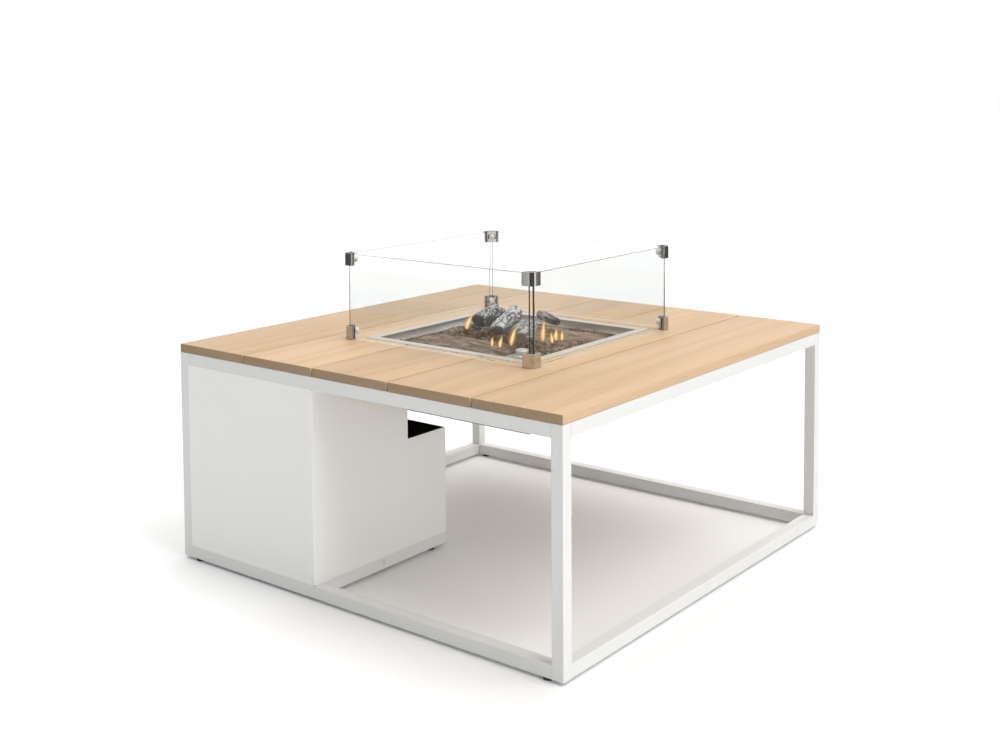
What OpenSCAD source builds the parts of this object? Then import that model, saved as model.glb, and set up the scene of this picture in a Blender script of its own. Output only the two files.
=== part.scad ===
// Square gas fire-pit table: aluminium tube frame, plank top, bottle cabinet in one
// corner, drop-in burner with a fire grate and ceramic logs, and a lift-off glass guard.
// Millimetres, +Z up, origin on the ground under the middle of the table.

/* [Table] */
// Width of the table, across the planks
table_w = 1000; // [860:1:1400]
// Depth of the table, along the planks
table_d = 1000; // [860:1:1400]
// Height of the plank tops above the ground
table_h = 466; // [400:1:760]

/* [Frame] */
// Outer size of the square aluminium tube
tube = 25; // [20:1:40]
// Wall of the tube
tube_wall = 2; // [1.5:0.1:3]
// Radius on the long edges of the tube
tube_round = 1; // [0.5:0.1:2.5]
// Height of the feet below the frame
foot_h = 6; // [4:0.5:12]
// Diameter of a foot
foot_d = 20; // [14:1:24]
// Diameter of the plug that holds a foot in its rail
foot_plug_d = 8; // [5:0.5:10]
// Distance of a foot from the end of the table
foot_inset = 40; // [34:1:90]

/* [Top] */
// Thickness of the planks
board_t = 18; // [14:1:28]
// Gap between two planks
board_gap = 4; // [2:0.5:8]
// Diameter of a plank screw's shank
screw_d = 4.5; // [3:0.5:5]
// Depth that a plank screw reaches into the plank
screw_bite = 11; // [8:0.5:12]

/* [Cabinet] */
// Width of the bottle cabinet
cabinet_w = 400; // [330:1:420]
// Depth of the bottle cabinet
cabinet_d = 397; // [330:1:420]
// Thickness of the cabinet sheet
sheet = 2; // [1:0.1:2.5]
// Outer radius of the sheet's bends
sheet_bend = 3; // [2.5:0.1:6]
// Drop from the burner housing to the low part of the cabinet under it
step_drop = 59; // [20:1:120]
// Clearance between the burner housing and the tall part of the cabinet
step_gap = 10; // [4:1:30]
// Gap round the door
door_gap = 2; // [1.8:0.1:4]
// Depth of the door's folded edges
door_fold = 15; // [13:1:20]
// Diameter of the door's pivot pins
pivot_d = 5; // [4:0.5:5]
// Distance of the pivot from the outer face of the door
pivot_in = 5; // [4.8:0.1:6]
// Distance of the pivot from the front edge of the door
pivot_back = 8; // [7:0.5:12]
// Diameter of the finger hole in the door
finger_d = 26; // [22:1:40]

/* [Burner] */
// Outer width of the burner's rim
rim_w = 440; // [400:1:470]
// Width of the rim's flat flange
rim_flange = 20; // [14:1:26]
// Thickness of the burner's sheet
steel = 1.5; // [1:0.1:2]
// Depth of the first step below the plank tops
ledge_drop = 12; // [8:1:20]
// Width of the ledge
ledge_w = 18; // [12:1:24]
// Depth of the pan's floor below the plank tops
pan_depth = 62; // [56:1:80]
// Depth of the housing's underside below the plank tops
housing_depth = 143; // [132:1:165]
// Side of the corner box round the control valve
control_w = 90; // [80:1:110]
// Height of the fire grate's top below the plank tops
grate_drop = 38; // [32:1:38]
// Thickness of the grate's bars
grate_t = 4; // [3:0.5:5]
// Radius of the burner ring, to the middle of its tube
ring_r = 92; // [70:1:98]
// Diameter of the burner ring's tube
ring_tube = 14; // [10:1:14]
// Diameter of the rigid gas pipes
pipe_d = 8; // [6:0.5:9]

/* [Control knob] */
// Diameter of the knob
knob_d = 32; // [26:1:40]
// Height of the knob
knob_h = 16; // [12:1:20]
// Distance that the knob is pushed in to light the burner
knob_push = 4; // [2:0.5:4]
// Diameter of the valve's stem
stem_d = 6; // [5:0.5:7]

/* [Glass guard] */
// Width of the guard over the outer faces of the glass
guard_w = 500; // [470:1:620]
// Height of the guard above the plank tops
guard_h = 187; // [120:1:260]
// Thickness of the glass
glass_t = 5; // [4:0.5:8]
// Distance of a pane's edge from the guard's corner
pane_back = 8; // [7:0.5:10]
// Length of a corner clip's wings, from the guard's corner
clip_w = 21; // [20:1:34]
// Height of a corner clip
clip_h = 27; // [18:1:40]
// Thickness of a corner clip
clip_t = 1.5; // [1:0.1:2]
// Gap between a corner clip and the glass, filled by a silicone liner
clip_gap = 4; // [1.5:0.1:5]

/* [Hidden] */
$fn = 48;

// Clearances and overshoots
cut = 1;             // how far a cutting shape runs past what it cuts
play = 0.3;          // gap between pieces that move past each other
fit = 0.08;          // radial clearance of a running fit
seat = 0.1;          // radial clearance of a plug or screw in its hole

// Colours
paint = [0.93, 0.93, 0.92];
teak = [0.85, 0.68, 0.48];
stainless = [0.78, 0.78, 0.77];
black = [0.08, 0.08, 0.08];
bark = [0.45, 0.38, 0.33];
ash = [0.62, 0.62, 0.62];
brass = [0.80, 0.63, 0.33];
glass = [0.75, 0.85, 0.85, 0.35];

// Frame
x_out = table_w / 2;
y_out = table_d / 2;
frame_top = table_h - board_t;
high = frame_top - tube;                 // underside of the top rails
low = foot_h + tube;                     // upper side of the bottom rails
rail_x = table_w - 2 * tube;             // length of a rail along X
rail_y = table_d - 2 * tube;             // length of a rail along Y
bore = tube - 2 * tube_wall;             // inside of a tube

// Planks
board_n = 5;
board_w = (table_w - (board_n - 1) * board_gap) / board_n;
board_x = [for (i = [0:board_n - 1]) -x_out + board_w / 2 + i * (board_w + board_gap)];
head_d = screw_d + 4;
head_h = 2.5;
foot_plug_h = 5;

// Burner
hole_half = rim_w / 2 - rim_flange + 2;  // half of the opening in the planks
wall_half = rim_w / 2 - rim_flange;      // outer face of the rim's wall
pan_half = wall_half - ledge_w - steel;  // inner face of the pan
housing_half = rim_w / 2 - 6;            // outer face of the housing
ledge_z = table_h - ledge_drop;
floor_z = table_h - pan_depth;
housing_z = table_h - housing_depth;
beam_y = housing_half + tube / 2;        // middle of a beam
riser_hole = ring_tube + 2;
lug = 8;                                 // the grate's support lugs
lug_t = 3;
vent_d = 8;                              // holes round the housing's foot
vent_pitch = 30;
vent_span = 90;
vent_up = 20;
box_in = wall_half - steel - control_w;  // inner corner of the control box
knob_c = wall_half - steel - control_w / 2;
knob_x = knob_c;
knob_y = -knob_c;

// Cabinet
cab_x = -x_out + cabinet_w;              // outer face of the cabinet's inner side
cab_y = -y_out + cabinet_d;              // outer face of the cabinet's back
step_h = housing_z - step_drop;          // top of the cabinet's low part
step_x = -housing_half - step_gap;
step_y = -housing_half - step_gap;
jamb_y = cab_y - tube;                   // rear edge of the door's opening
door_y0 = -y_out + tube + door_gap;
door_y1 = jamb_y - door_gap;
door_z0 = low + door_gap;
door_z1 = high - door_gap;
pivot_x = -x_out + pivot_in;
pivot_y = door_y0 + pivot_back;
catch_z = [low + 90, high - 90];
relief_d = 4;                            // notch at each end of the panel's upright bend
floor_gap = 0.5;
floor_fold = 16;
pin_bite = 3;                            // how far a pivot pin reaches past the door's fold
pin_collar = 3;
catch_h = 30;                            // magnetic catches
catch_w = 11;
catch_lip = 4;
catch_reach = 10;                        // how far the lip reaches behind the door's fold
catch_gap = 0.6;
lock_d = 5;                              // cabinet screws
lock_head_d = 9;
lock_head_h = 1.5;
lock_hex = 3;
lock_end = 4;
lock_z = foot_h + tube / 2 + 1;
lock_y = (jamb_y - y_out + tube) / 2;
lock_x = (-x_out + tube + cab_x - tube) / 2;

// Valve and knob
plate_z = ledge_z + steel;               // top of the control plate
valve_top = ledge_z - 4;
valve_h = 28;
valve_w = 36;
bonnet_d = stem_d + 6;
bonnet_top = plate_z + 2;
collar_d = bonnet_d + 8;                 // shoulder that the control plate rests on
socket_h = 8;                            // depth of a pipe's socket in the valve
pipe_in = 7;                             // how far a pipe reaches into it
port_off = pipe_d / 2 + 4;               // the valve's two ports, either side of its axis
plunger_d = stem_d + 4;
plunger_h = 8;
plunger_top = valve_top - 3;
knob_z = plate_z + knob_push + 0.5;
knob_bar = 4;                            // finger bar on the knob: height, then half its width
knob_bar_half = 4;

// Gas pipes
bend = pipe_d * 1.5;
supply_z = housing_z + 43;
feed_z = supply_z + 16;
ring_z = floor_z + ring_tube / 2 + 3;
port_d = 2;                              // flame ports round the ring
mixer_d = ring_tube + 4;
mixer_wall = 2;
mixer_y = -34;                           // open mouth of the mixing tube
mixer_bore = 24;                         // depth of its bore
injector_y = mixer_y - 30;
injector_hex = 12;                       // length of the injector's hexagon
injector_tip = 10;
jet_d = 1.6;
nozzle_d = pipe_d + 4;                   // spigot for the gas hose
nozzle_h = 20;
nozzle_bore = 16;
nozzle_rim = 2;                          // thickness of the rim behind the spigot
union_h = 8;
sensor_d = 6.6;                          // bodies of the thermocouple and the electrode
sensor_drop = 9;

// Fire bed
grate_top = table_h - grate_drop;
grate_half = pan_half - 2;
grate_notch = box_in - steel - 2;
grate_bar = 4;
bars = 15;

// Glass guard
guard_half = guard_w / 2;
pad_t = 1;
glass_z = table_h + pad_t + 2;
glass_top = table_h + guard_h - 2;
clip_low = table_h + pad_t;
clip_high = table_h + guard_h - clip_h;
facet_in = 4.7;                          // a clip's corner facet starts this far before the pane's back
facet = pane_back - facet_in;
plate_facet = 11;                        // start of the inner plate's corner facet, from the glass
stud_d = 4;
nut_d = 13;
nut_h = 11;
nut_low = clip_low + clip_h / 2 + 3;
nut_high = clip_high + clip_h / 2;

// ---------- shared shapes ----------

// Outline of a square with rounded corners, from 0 to w
function rounded(w, r, n = 4) = [
    for (c = [[w - r, w - r, 0], [r, w - r, 90], [r, r, 180], [w - r, r, 270]])
        for (i = [0:n]) [c[0] + r * cos(c[2] + 90 * i / n), c[1] + r * sin(c[2] + 90 * i / n)]
];

// Points of an arc
function arc(x, y, r, a0, a1, n = 6) = [
    for (i = [0:n]) let (a = a0 + (a1 - a0) * i / n) [x + r * cos(a), y + r * sin(a)]
];

// Square tube standing on z = 0
module tube_z(length, closed = 0) {
    difference() {
        linear_extrude(length) polygon(rounded(tube, tube_round));
        translate([tube_wall, tube_wall, closed])
            cube([bore, bore, length + cut]);
    }
}

// Square tube along X, centred on x = 0, between y = 0..tube and z = 0..tube
module tube_x(length) {
    translate([-length / 2, 0, 0]) rotate([90, 0, 90]) difference() {
        linear_extrude(length) polygon(rounded(tube, tube_round));
        translate([tube_wall, tube_wall, -cut]) cube([bore, bore, length + 2 * cut]);
    }
}

// Square tube along Y, from y0 to y1, between x = 0..tube and z = 0..tube
module tube_y(y0, y1) {
    translate([tube, y0, 0]) rotate([90, 0, 180]) difference() {
        linear_extrude(y1 - y0) polygon(rounded(tube, tube_round));
        translate([tube_wall, tube_wall, -cut]) cube([bore, bore, y1 - y0 + 2 * cut]);
    }
}

// Block centred on x = 0 and y = 0, from z0 to z1
module block(half, z0, z1) {
    translate([-half, -half, z0]) cube([2 * half, 2 * half, z1 - z0]);
}

// Round rod from z0 to z1
module rod(d, z0, z1) {
    translate([0, 0, z0]) cylinder(d = d, h = z1 - z0);
}

// Quarter bend in the XZ plane, from straight up at the origin to pointing along +X
module elbow(d, r) {
    translate([r, 0, 0]) rotate([90, 0, 0]) rotate([0, 0, 90])
        rotate_extrude(angle = 90) translate([r, 0]) circle(d = d);
}

// ---------- frame ----------

module leg(sx, sy) {
    color(paint)
        translate([sx > 0 ? x_out - tube : -x_out, sy > 0 ? y_out - tube : -y_out, foot_h])
            tube_z(frame_top - foot_h, tube_wall);
}

// Holes through a top rail or beam for the plank screws
module screw_holes(y) {
    for (x = board_x) translate([x, y, 0]) rod(screw_d + 2 * seat, high - cut, frame_top + cut);
}

// Hole for a foot's plug in the lower wall of a bottom rail
module foot_hole(x, y) {
    translate([x, y, 0]) rod(foot_plug_d + 2 * seat, foot_h - cut, foot_h + tube_wall + cut);
}

module top_rail_x(side) {
    color(paint) difference() {
        translate([0, side > 0 ? y_out - tube : -y_out, high]) tube_x(rail_x);
        screw_holes(side * (y_out - tube / 2));
    }
}

module top_rail_y(side) {
    color(paint)
        translate([side > 0 ? x_out - tube : -x_out, 0, high]) tube_y(-rail_y / 2, rail_y / 2);
}

module bottom_rail_x(side) {
    color(paint) difference() {
        translate([0, side > 0 ? y_out - tube : -y_out, foot_h]) tube_x(rail_x);
        for (x = [-1, 1]) foot_hole(x * (x_out - foot_inset), side * (y_out - tube / 2));
    }
}

module bottom_rail_y(side) {
    color(paint)
        translate([side > 0 ? x_out - tube : -x_out, 0, foot_h]) tube_y(-rail_y / 2, rail_y / 2);
}

module cabinet_rail_side() {
    color(paint) difference() {
        translate([cab_x - tube, 0, foot_h]) tube_y(-y_out + tube, cab_y);
        foot_hole(cab_x - tube / 2, cab_y - foot_inset);
        translate([cab_x - tube - cut, lock_y, lock_z]) rotate([0, 90, 0])
            cylinder(d = lock_d + 2 * seat, h = tube + 2 * cut);
    }
}

module cabinet_rail_back() {
    length = cab_x - tube - (-x_out + tube);
    color(paint) difference() {
        translate([lock_x, cab_y - tube, foot_h]) tube_x(length);
        translate([lock_x, cab_y + cut, lock_z]) rotate([90, 0, 0])
            cylinder(d = lock_d + 2 * seat, h = tube + 2 * cut);
    }
}

module beam(side) {
    color(paint) difference() {
        translate([0, side * beam_y - tube / 2, high]) tube_x(rail_x);
        screw_holes(side * beam_y);
    }
}

// The two beams, one on each side of the burner housing
module beams() {
    for (side = [-1, 1]) beam(side);
}

module foot(x, y) {
    translate([x, y, 0]) {
        rod(foot_d, 0, foot_h);
        rod(foot_plug_d, foot_h, foot_h + foot_plug_h);
    }
}

module feet() {
    color(black) {
        for (x = [-1, 1]) for (y = [-1, 1]) foot(x * (x_out - foot_inset), y * (y_out - tube / 2));
        foot(cab_x - tube / 2, cab_y - foot_inset);
    }
}

// ---------- cabinet ----------

// Front and inner side, one sheet with one upright bend; relief notches at the bend's ends
module cabinet_panel() {
    x0 = -x_out + tube;
    b = sheet_bend;
    color(paint) difference() {
        translate([0, 0, low]) linear_extrude(high - low) polygon(concat(
            [[x0, -y_out]],
            arc(cab_x - b, -y_out + b, b, -90, 0),
            [[cab_x, cab_y], [cab_x - sheet, cab_y]],
            arc(cab_x - b, -y_out + b, b - sheet, 0, -90),
            [[x0, -y_out + sheet]]
        ));
        translate([cab_x - sheet - cut, step_y, step_h])
            cube([sheet + 2 * cut, cab_y - step_y + cut, high - step_h + cut]);
        for (z = [low, high]) translate([cab_x, -y_out, z]) rotate([90, 0, 45])
            translate([0, 0, -2 * sheet]) cylinder(d = relief_d, h = 4 * sheet);
    }
}

// Back, with its low part under the burner and the folded jamb that the door closes against
module cabinet_back_panel() {
    x1 = cab_x - sheet;
    b = sheet_bend;
    color(paint) difference() {
        translate([0, 0, low]) linear_extrude(high - low) polygon(concat(
            [[-x_out, jamb_y], [-x_out + sheet, jamb_y]],
            arc(-x_out + b, cab_y - b, b - sheet, 180, 90),
            [[x1, cab_y - sheet], [x1, cab_y]],
            arc(-x_out + b, cab_y - b, b, 90, 180)
        ));
        translate([step_x, cab_y - sheet - cut, step_h])
            cube([x1 - step_x + cut, sheet + 2 * cut, high - step_h + cut]);
    }
}

module cabinet_floor() {
    x0 = -x_out + tube + floor_gap;
    y0 = -y_out + tube + floor_gap;
    x1 = cab_x - tube - floor_gap;
    y1 = cab_y - tube - floor_gap;
    color(paint) difference() {
        translate([x0, y0, low - floor_fold]) cube([x1 - x0, y1 - y0, floor_fold]);
        translate([x0 + sheet, y0 + sheet, low - floor_fold - cut])
            cube([x1 - x0 - 2 * sheet, y1 - y0 - 2 * sheet, floor_fold - sheet + cut]);
        translate([x1 - sheet - cut, lock_y, lock_z]) rotate([0, 90, 0])
            cylinder(d = lock_d + 2 * seat, h = sheet + 2 * cut);
        translate([lock_x, y1 + cut, lock_z]) rotate([90, 0, 0])
            cylinder(d = lock_d + 2 * seat, h = sheet + 2 * cut);
    }
}

// Screw pointing along -Z from the face z = 0
module lock_screw() {
    difference() {
        rod(lock_head_d, 0, lock_head_h);
        translate([0, 0, lock_head_h / 3]) cylinder(d = lock_hex, h = lock_head_h, $fn = 6);
    }
    rod(lock_d, -tube - floor_gap - sheet - lock_end, 0);
}

module cabinet_screws() {
    color(stainless) {
        translate([cab_x, lock_y, lock_z]) rotate([0, 90, 0]) lock_screw();
        translate([lock_x, cab_y, lock_z]) rotate([-90, 0, 0]) lock_screw();
    }
}

module cabinet_door() {
    skin_y = door_y1 - door_y0;
    skin_z = door_z1 - door_z0;
    color(paint) difference() {
        translate([-x_out, door_y0, door_z0]) cube([door_fold, skin_y, skin_z]);
        translate([-x_out + sheet, door_y0 + sheet, door_z0 + sheet])
            cube([door_fold, skin_y - 2 * sheet, skin_z - 2 * sheet]);
        translate([pivot_x, pivot_y, 0]) rod(pivot_d + 2 * fit, door_z0 - cut, door_z1 + cut);
        translate([-x_out - cut, door_y1 - finger_d, (low + high) / 2]) rotate([0, 90, 0])
            cylinder(d = finger_d, h = sheet + 2 * cut);
    }
}

module door_pivot_pins() {
    reach = door_gap + sheet + pin_bite;
    color(stainless) translate([pivot_x, pivot_y, 0]) {
        rod(pivot_d, low, low + reach);
        rod(pivot_d + pin_collar, low, low + door_gap - play);
        rod(pivot_d, high - reach, high);
        rod(pivot_d + pin_collar, high - door_gap + play, high);
    }
}

// Magnetic catches on the jamb, with a lip that stops the door flush
module door_catches() {
    face = door_y1 + catch_gap;
    lip_x = -x_out + door_fold + catch_gap;
    color(black) for (z = catch_z) translate([0, 0, z - catch_h / 2]) {
        translate([-x_out + sheet, face, 0])
            cube([lip_x + catch_lip + x_out - sheet, catch_w, catch_h]);
        translate([lip_x, face - catch_reach, 0]) cube([catch_lip, catch_reach + catch_w, catch_h]);
    }
}

// ---------- planks ----------

module board(i, y0, y1) {
    color(teak) difference() {
        translate([board_x[i] - board_w / 2, y0, frame_top]) cube([board_w, y1 - y0, board_t]);
        block(hole_half, frame_top - cut, table_h + cut);
        for (s = [-1, 1]) for (y = [y_out - tube / 2, beam_y]) translate([board_x[i], s * y, 0])
            rod(screw_d, frame_top - cut, frame_top + screw_bite);
    }
}

module board_screws() {
    color(stainless) for (x = board_x) for (s = [-1, 1]) for (y = [y_out - tube / 2, beam_y])
        translate([x, s * y, 0]) {
            rod(head_d, high - head_h, high);
            rod(screw_d, high, frame_top + screw_bite - 0.5);
        }
}

// ---------- burner ----------

// Rim, stepped wall, ledge and pan, pressed from one sheet
module burner_pan() {
    color(stainless) difference() {
        union() {
            difference() {
                union() {
                    block(rim_w / 2, table_h, table_h + steel);
                    block(wall_half, ledge_z - steel, table_h + steel);
                    block(pan_half + steel, floor_z - steel, ledge_z);
                }
                block(wall_half - steel, ledge_z, table_h + 2 * steel);
                block(pan_half, floor_z, ledge_z + cut);
            }
            for (a = [0:90:270]) rotate(a)
                translate([pan_half - lug, -lug, grate_top - grate_t - play - lug_t])
                    cube([lug, 2 * lug, lug_t]);
        }
        rod(riser_hole, floor_z - steel - cut, floor_z + cut);
        for (s = [-1, 1]) translate([knob_x, knob_y + s * port_off, 0])
            rod(pipe_d + 1, floor_z - steel - cut, floor_z + cut);
        for (s = [-1, 1]) sensor_place(s) rod(sensor_d + 4 * seat, floor_z - steel - cut, floor_z + cut);
    }
}

module burner_housing() {
    color(stainless) difference() {
        block(housing_half, housing_z, frame_top);
        block(housing_half - steel, housing_z + steel, frame_top + cut);
        translate([-housing_half - cut, knob_y - port_off, supply_z]) rotate([0, 90, 0])
            cylinder(d = nozzle_d + 2 * seat, h = steel + 2 * cut);
        for (a = [0:90:270]) rotate(a) for (y = [-vent_span:vent_pitch:vent_span])
            translate([housing_half - steel - cut, y, housing_z + vent_up]) rotate([0, 90, 0])
                cylinder(d = vent_d, h = steel + 2 * cut);
    }
}

// Corner box that keeps the fire bed off the valve, with the plate that the knob stands on
module control_box() {
    a = box_in - steel;
    side = wall_half - steel - a;
    depth = pan_half - a;
    color(stainless) difference() {
        union() {
            translate([a, -a - side, ledge_z]) cube([side, side, steel]);
            translate([a, -a - depth, floor_z]) cube([steel, depth, ledge_z - floor_z]);
            translate([a, -a - steel, floor_z]) cube([depth, steel, ledge_z - floor_z]);
        }
        translate([knob_x, knob_y, 0]) rod(bonnet_d + 2 * seat, ledge_z - cut, plate_z + cut);
    }
}

module gas_valve() {
    color(brass) translate([knob_x, knob_y, 0]) difference() {
        union() {
            translate([-valve_w / 2, -valve_w / 2, valve_top - valve_h])
                cube([valve_w, valve_w, valve_h]);
            rod(collar_d, valve_top, ledge_z);
            rod(bonnet_d, ledge_z, bonnet_top);
        }
        rod(stem_d + 2 * fit, plunger_top, bonnet_top + cut);
        rod(plunger_d + 2 * fit, plunger_top - plunger_h - knob_push - 1, plunger_top + play);
        for (s = [-1, 1]) translate([0, s * port_off, 0])
            rod(pipe_d + 2 * seat, valve_top - valve_h - cut, valve_top - valve_h + socket_h);
    }
}

module valve_plunger() {
    color(brass) translate([knob_x, knob_y, 0]) rod(plunger_d, plunger_top - plunger_h, plunger_top);
}

module valve_stem() {
    color(stainless) translate([knob_x, knob_y, 0])
        rod(stem_d, plunger_top + play, knob_z + knob_h - knob_bar);
}

// Knob with a finger bar; its underside is hollow round the bonnet
module control_knob() {
    top = knob_z + knob_h;
    color(stainless) translate([knob_x, knob_y, 0]) difference() {
        union() {
            rod(knob_d, knob_z, top - knob_bar - 1);
            rod(knob_d - 6, top - knob_bar - 1, top - knob_bar);
            translate([-knob_d / 2 + 2, -knob_bar_half, top - knob_bar])
                cube([knob_d - 4, 2 * knob_bar_half, knob_bar]);
        }
        rod(bonnet_d + 4, knob_z - cut, bonnet_top + knob_push + 1);
        rod(stem_d, knob_z, top - knob_bar);
    }
}

// Pipe from the inlet in the housing's wall to the valve, with its bulkhead union
module supply_pipe() {
    x0 = -housing_half;
    bottom = valve_top - valve_h;
    color(brass) translate([0, knob_y - port_off, 0]) {
        translate([knob_x, 0, 0]) rod(pipe_d, supply_z + bend, bottom + pipe_in);
        translate([knob_x, 0, supply_z + bend]) mirror([0, 0, 1]) mirror([1, 0, 0]) elbow(pipe_d, bend);
        translate([x0 + steel + union_h, 0, supply_z]) rotate([0, 90, 0])
            cylinder(d = pipe_d, h = knob_x - bend - x0 - steel - union_h);
        translate([x0 + steel, 0, supply_z]) rotate([0, 90, 0])
            cylinder(d = nozzle_d + 6, h = union_h, $fn = 6);
        translate([x0 - nozzle_rim, 0, supply_z]) rotate([0, 90, 0])
            cylinder(d = nozzle_d + 5, h = nozzle_rim);
        translate([x0 - nozzle_rim - nozzle_h, 0, supply_z]) rotate([0, 90, 0]) difference() {
            cylinder(d = nozzle_d, h = nozzle_h + nozzle_rim + steel);
            translate([0, 0, -cut]) cylinder(d = pipe_d - 2, h = nozzle_bore);
        }
    }
}

// Pipe from the valve to the injector
module feed_pipe() {
    bottom = valve_top - valve_h;
    y = knob_y + port_off;
    color(brass) {
        translate([knob_x, y, 0]) rod(pipe_d, feed_z + bend, bottom + pipe_in);
        translate([knob_x, y, feed_z + bend]) mirror([0, 0, 1]) mirror([1, 0, 0]) elbow(pipe_d, bend);
        translate([bend, y, feed_z]) rotate([0, 90, 0]) cylinder(d = pipe_d, h = knob_x - 2 * bend);
        translate([bend, y + bend, feed_z]) rotate(180)
            rotate_extrude(angle = 90) translate([bend, 0]) circle(d = pipe_d);
        translate([0, y + bend, feed_z]) rotate([-90, 0, 0])
            cylinder(d = pipe_d, h = injector_y - y - bend);
    }
}

module gas_injector() {
    color(brass) translate([0, injector_y, feed_z]) rotate([-90, 0, 0]) difference() {
        union() {
            cylinder(d = pipe_d + 6, h = injector_hex, $fn = 6);
            translate([0, 0, injector_hex]) cylinder(d = pipe_d, h = injector_tip);
        }
        translate([0, 0, injector_hex / 3]) cylinder(d = jet_d, h = injector_hex + injector_tip);
    }
}

// Ring with its ports, the cross tube that feeds it, the riser and the mixing tube
module burner_ring() {
    color(stainless) difference() {
        union() {
            translate([0, 0, ring_z]) rotate_extrude($fn = 96) translate([ring_r, 0])
                circle(d = ring_tube);
            translate([-ring_r, 0, ring_z]) rotate([0, 90, 0])
                cylinder(d = ring_tube - 2, h = 2 * ring_r);
            rod(ring_tube, feed_z, ring_z);
            translate([0, mixer_y, feed_z]) rotate([-90, 0, 0])
                cylinder(d = mixer_d, h = mixer_d / 2 - mixer_y);
        }
        translate([0, mixer_y - cut, feed_z]) rotate([-90, 0, 0])
            cylinder(d = mixer_d - 2 * mixer_wall, h = mixer_bore);
        for (a = [15:30:345]) rotate(a) translate([ring_r, 0, 0])
            rod(port_d, ring_z, ring_z + ring_tube);
    }
}

// Place of the thermocouple (-1) and the spark electrode (1), inside the ring
module sensor_place(side) {
    rotate(-45 + side * 12) translate([ring_r - 20, 0, 0]) children();
}

module thermocouple() {
    color(stainless) sensor_place(-1) {
        rod(sensor_d, floor_z - sensor_drop, floor_z + 5);
        rod(4, floor_z + 5, grate_top - grate_t - 2);
    }
}

module spark_electrode() {
    color([0.95, 0.95, 0.93]) sensor_place(1) {
        rod(sensor_d, floor_z - sensor_drop, floor_z + 9);
        rod(2.4, floor_z + 9, grate_top - grate_t - 2);
    }
}

// ---------- fire bed ----------

module grate_outline(inset) {
    a = grate_half - inset;
    n = grate_notch - inset;
    polygon([[-a, -a], [n, -a], [n, -n], [a, -n], [a, a], [-a, a]]);
}

module fire_grate() {
    pitch = 2 * (grate_half - grate_bar) / (bars + 1);
    color(black) translate([0, 0, grate_top - grate_t]) {
        linear_extrude(grate_t) difference() {
            grate_outline(0);
            difference() {
                grate_outline(2 * grate_bar);
                for (i = [1:bars])
                    translate([-grate_half + grate_bar / 2 + i * pitch, -grate_half])
                        square([grate_bar, 2 * grate_half]);
                for (y = [-grate_half / 3, grate_half / 3])
                    translate([-grate_half, y - grate_bar / 2])
                        square([2 * grate_half, grate_bar]);
            }
        }
    }
}

// Log: its ends, half its width and height, and a seed for its knots
log_sides = 18;
log_rings = 12;
log_end = 0.86;                          // how much of its girth a log keeps at its ends
function log_taper(t) = min(1, pow(sin(180 * (0.06 + 0.88 * t)), 0.18));
function log_knot(t, a, s) = 1
    + 0.07 * sin(3 * a + 90 * s + 260 * t)
    + 0.05 * sin(5 * a - 70 * s - 400 * t)
    + 0.04 * sin(700 * t + 50 * s);

module log_body(p, q, hw, hh, s) {
    d = q - p;
    run = norm([d[0], d[1]]);
    f = [d[0], d[1], 0] / run;
    w = [-f[1], f[0], 0];
    m = log_sides;
    pts = [for (i = [0:log_rings]) for (j = [0:m - 1]) let (
        t = i / log_rings,
        a = 360 * j / m,
        k = log_taper(t) * log_knot(t, a, s) * (i == 0 || i == log_rings ? log_end : 1)
    ) p + d * t + w * hw * k * cos(a) + [0, 0, hh * k * sin(a)]];
    sides = [for (i = [0:log_rings - 1]) for (j = [0:m - 1]) let (a = i * m + j, b = i * m + (j + 1) % m)
        each [[a, b, b + m], [a, b + m, a + m]]];
    caps = [[for (j = [0:m - 1]) m - 1 - j], [for (j = [0:m - 1]) log_rings * m + j]];
    polyhedron(pts, concat(sides, caps));
}

// Logs: [start, end, half width, half height, seed]. X, Y and the half width are shares of the
// grate's half width, so the logs fill the bed; heights are millimetres above the grate.
logs = [
    [[-0.935, -0.555, 18], [0.515, -0.545, 18], 0.360, 16, 1],
    [[-0.640, 0.560, 18], [0.935, 0.575, 18], 0.360, 16, 2],
    [[0.290, -0.035, 62], [0.640, -0.600, 58], 0.132, 19, 3],
    [[-0.404, -0.120, 62], [-0.536, 0.530, 63], 0.123, 20, 4],
    [[-0.254, 0.500, 73], [0.140, -0.400, 59], 0.112, 17, 5],
    [[-0.020, 0.615, 66], [0.360, 0.505, 57], 0.070, 12, 6]
];
function on_bed(p) = [p[0] * grate_half, p[1] * grate_half, p[2]];

module log_piece(i, shade) {
    l = logs[i];
    color(shade) translate([0, 0, grate_top])
        log_body(on_bed(l[0]), on_bed(l[1]), l[2] * grate_half, l[3], l[4]);
}

// Distance of a point from a log's line, seen from above
function off_log(x, y, l) = let (
    p = on_bed(l[0]),
    q = on_bed(l[1]),
    a = [p[0], p[1]],
    d = [q[0], q[1]] - a,
    t = max(0, min(1, ((x - a[0]) * d[0] + (y - a[1]) * d[1]) / (d * d)))
) norm([x, y] - a - t * d) - l[2] * grate_half * 1.16;

stone_pitch = 25;
stone_n = floor(2 * (grate_half - 13) / stone_pitch);
stone_r = 11;
g = (1 + sqrt(5)) / 2;
ico = [[-1, g, 0], [1, g, 0], [-1, -g, 0], [1, -g, 0], [0, -1, g], [0, 1, g],
       [0, -1, -g], [0, 1, -g], [g, 0, -1], [g, 0, 1], [-g, 0, -1], [-g, 0, 1]] / norm([1, g]);
ico_faces = [[0, 5, 11], [0, 1, 5], [0, 7, 1], [0, 10, 7], [0, 11, 10], [1, 9, 5], [5, 4, 11],
             [11, 2, 10], [10, 6, 7], [7, 8, 1], [3, 4, 9], [3, 2, 4], [3, 6, 2], [3, 8, 6],
             [3, 9, 8], [4, 5, 9], [2, 11, 4], [6, 10, 2], [8, 7, 6], [9, 1, 8]];

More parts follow.
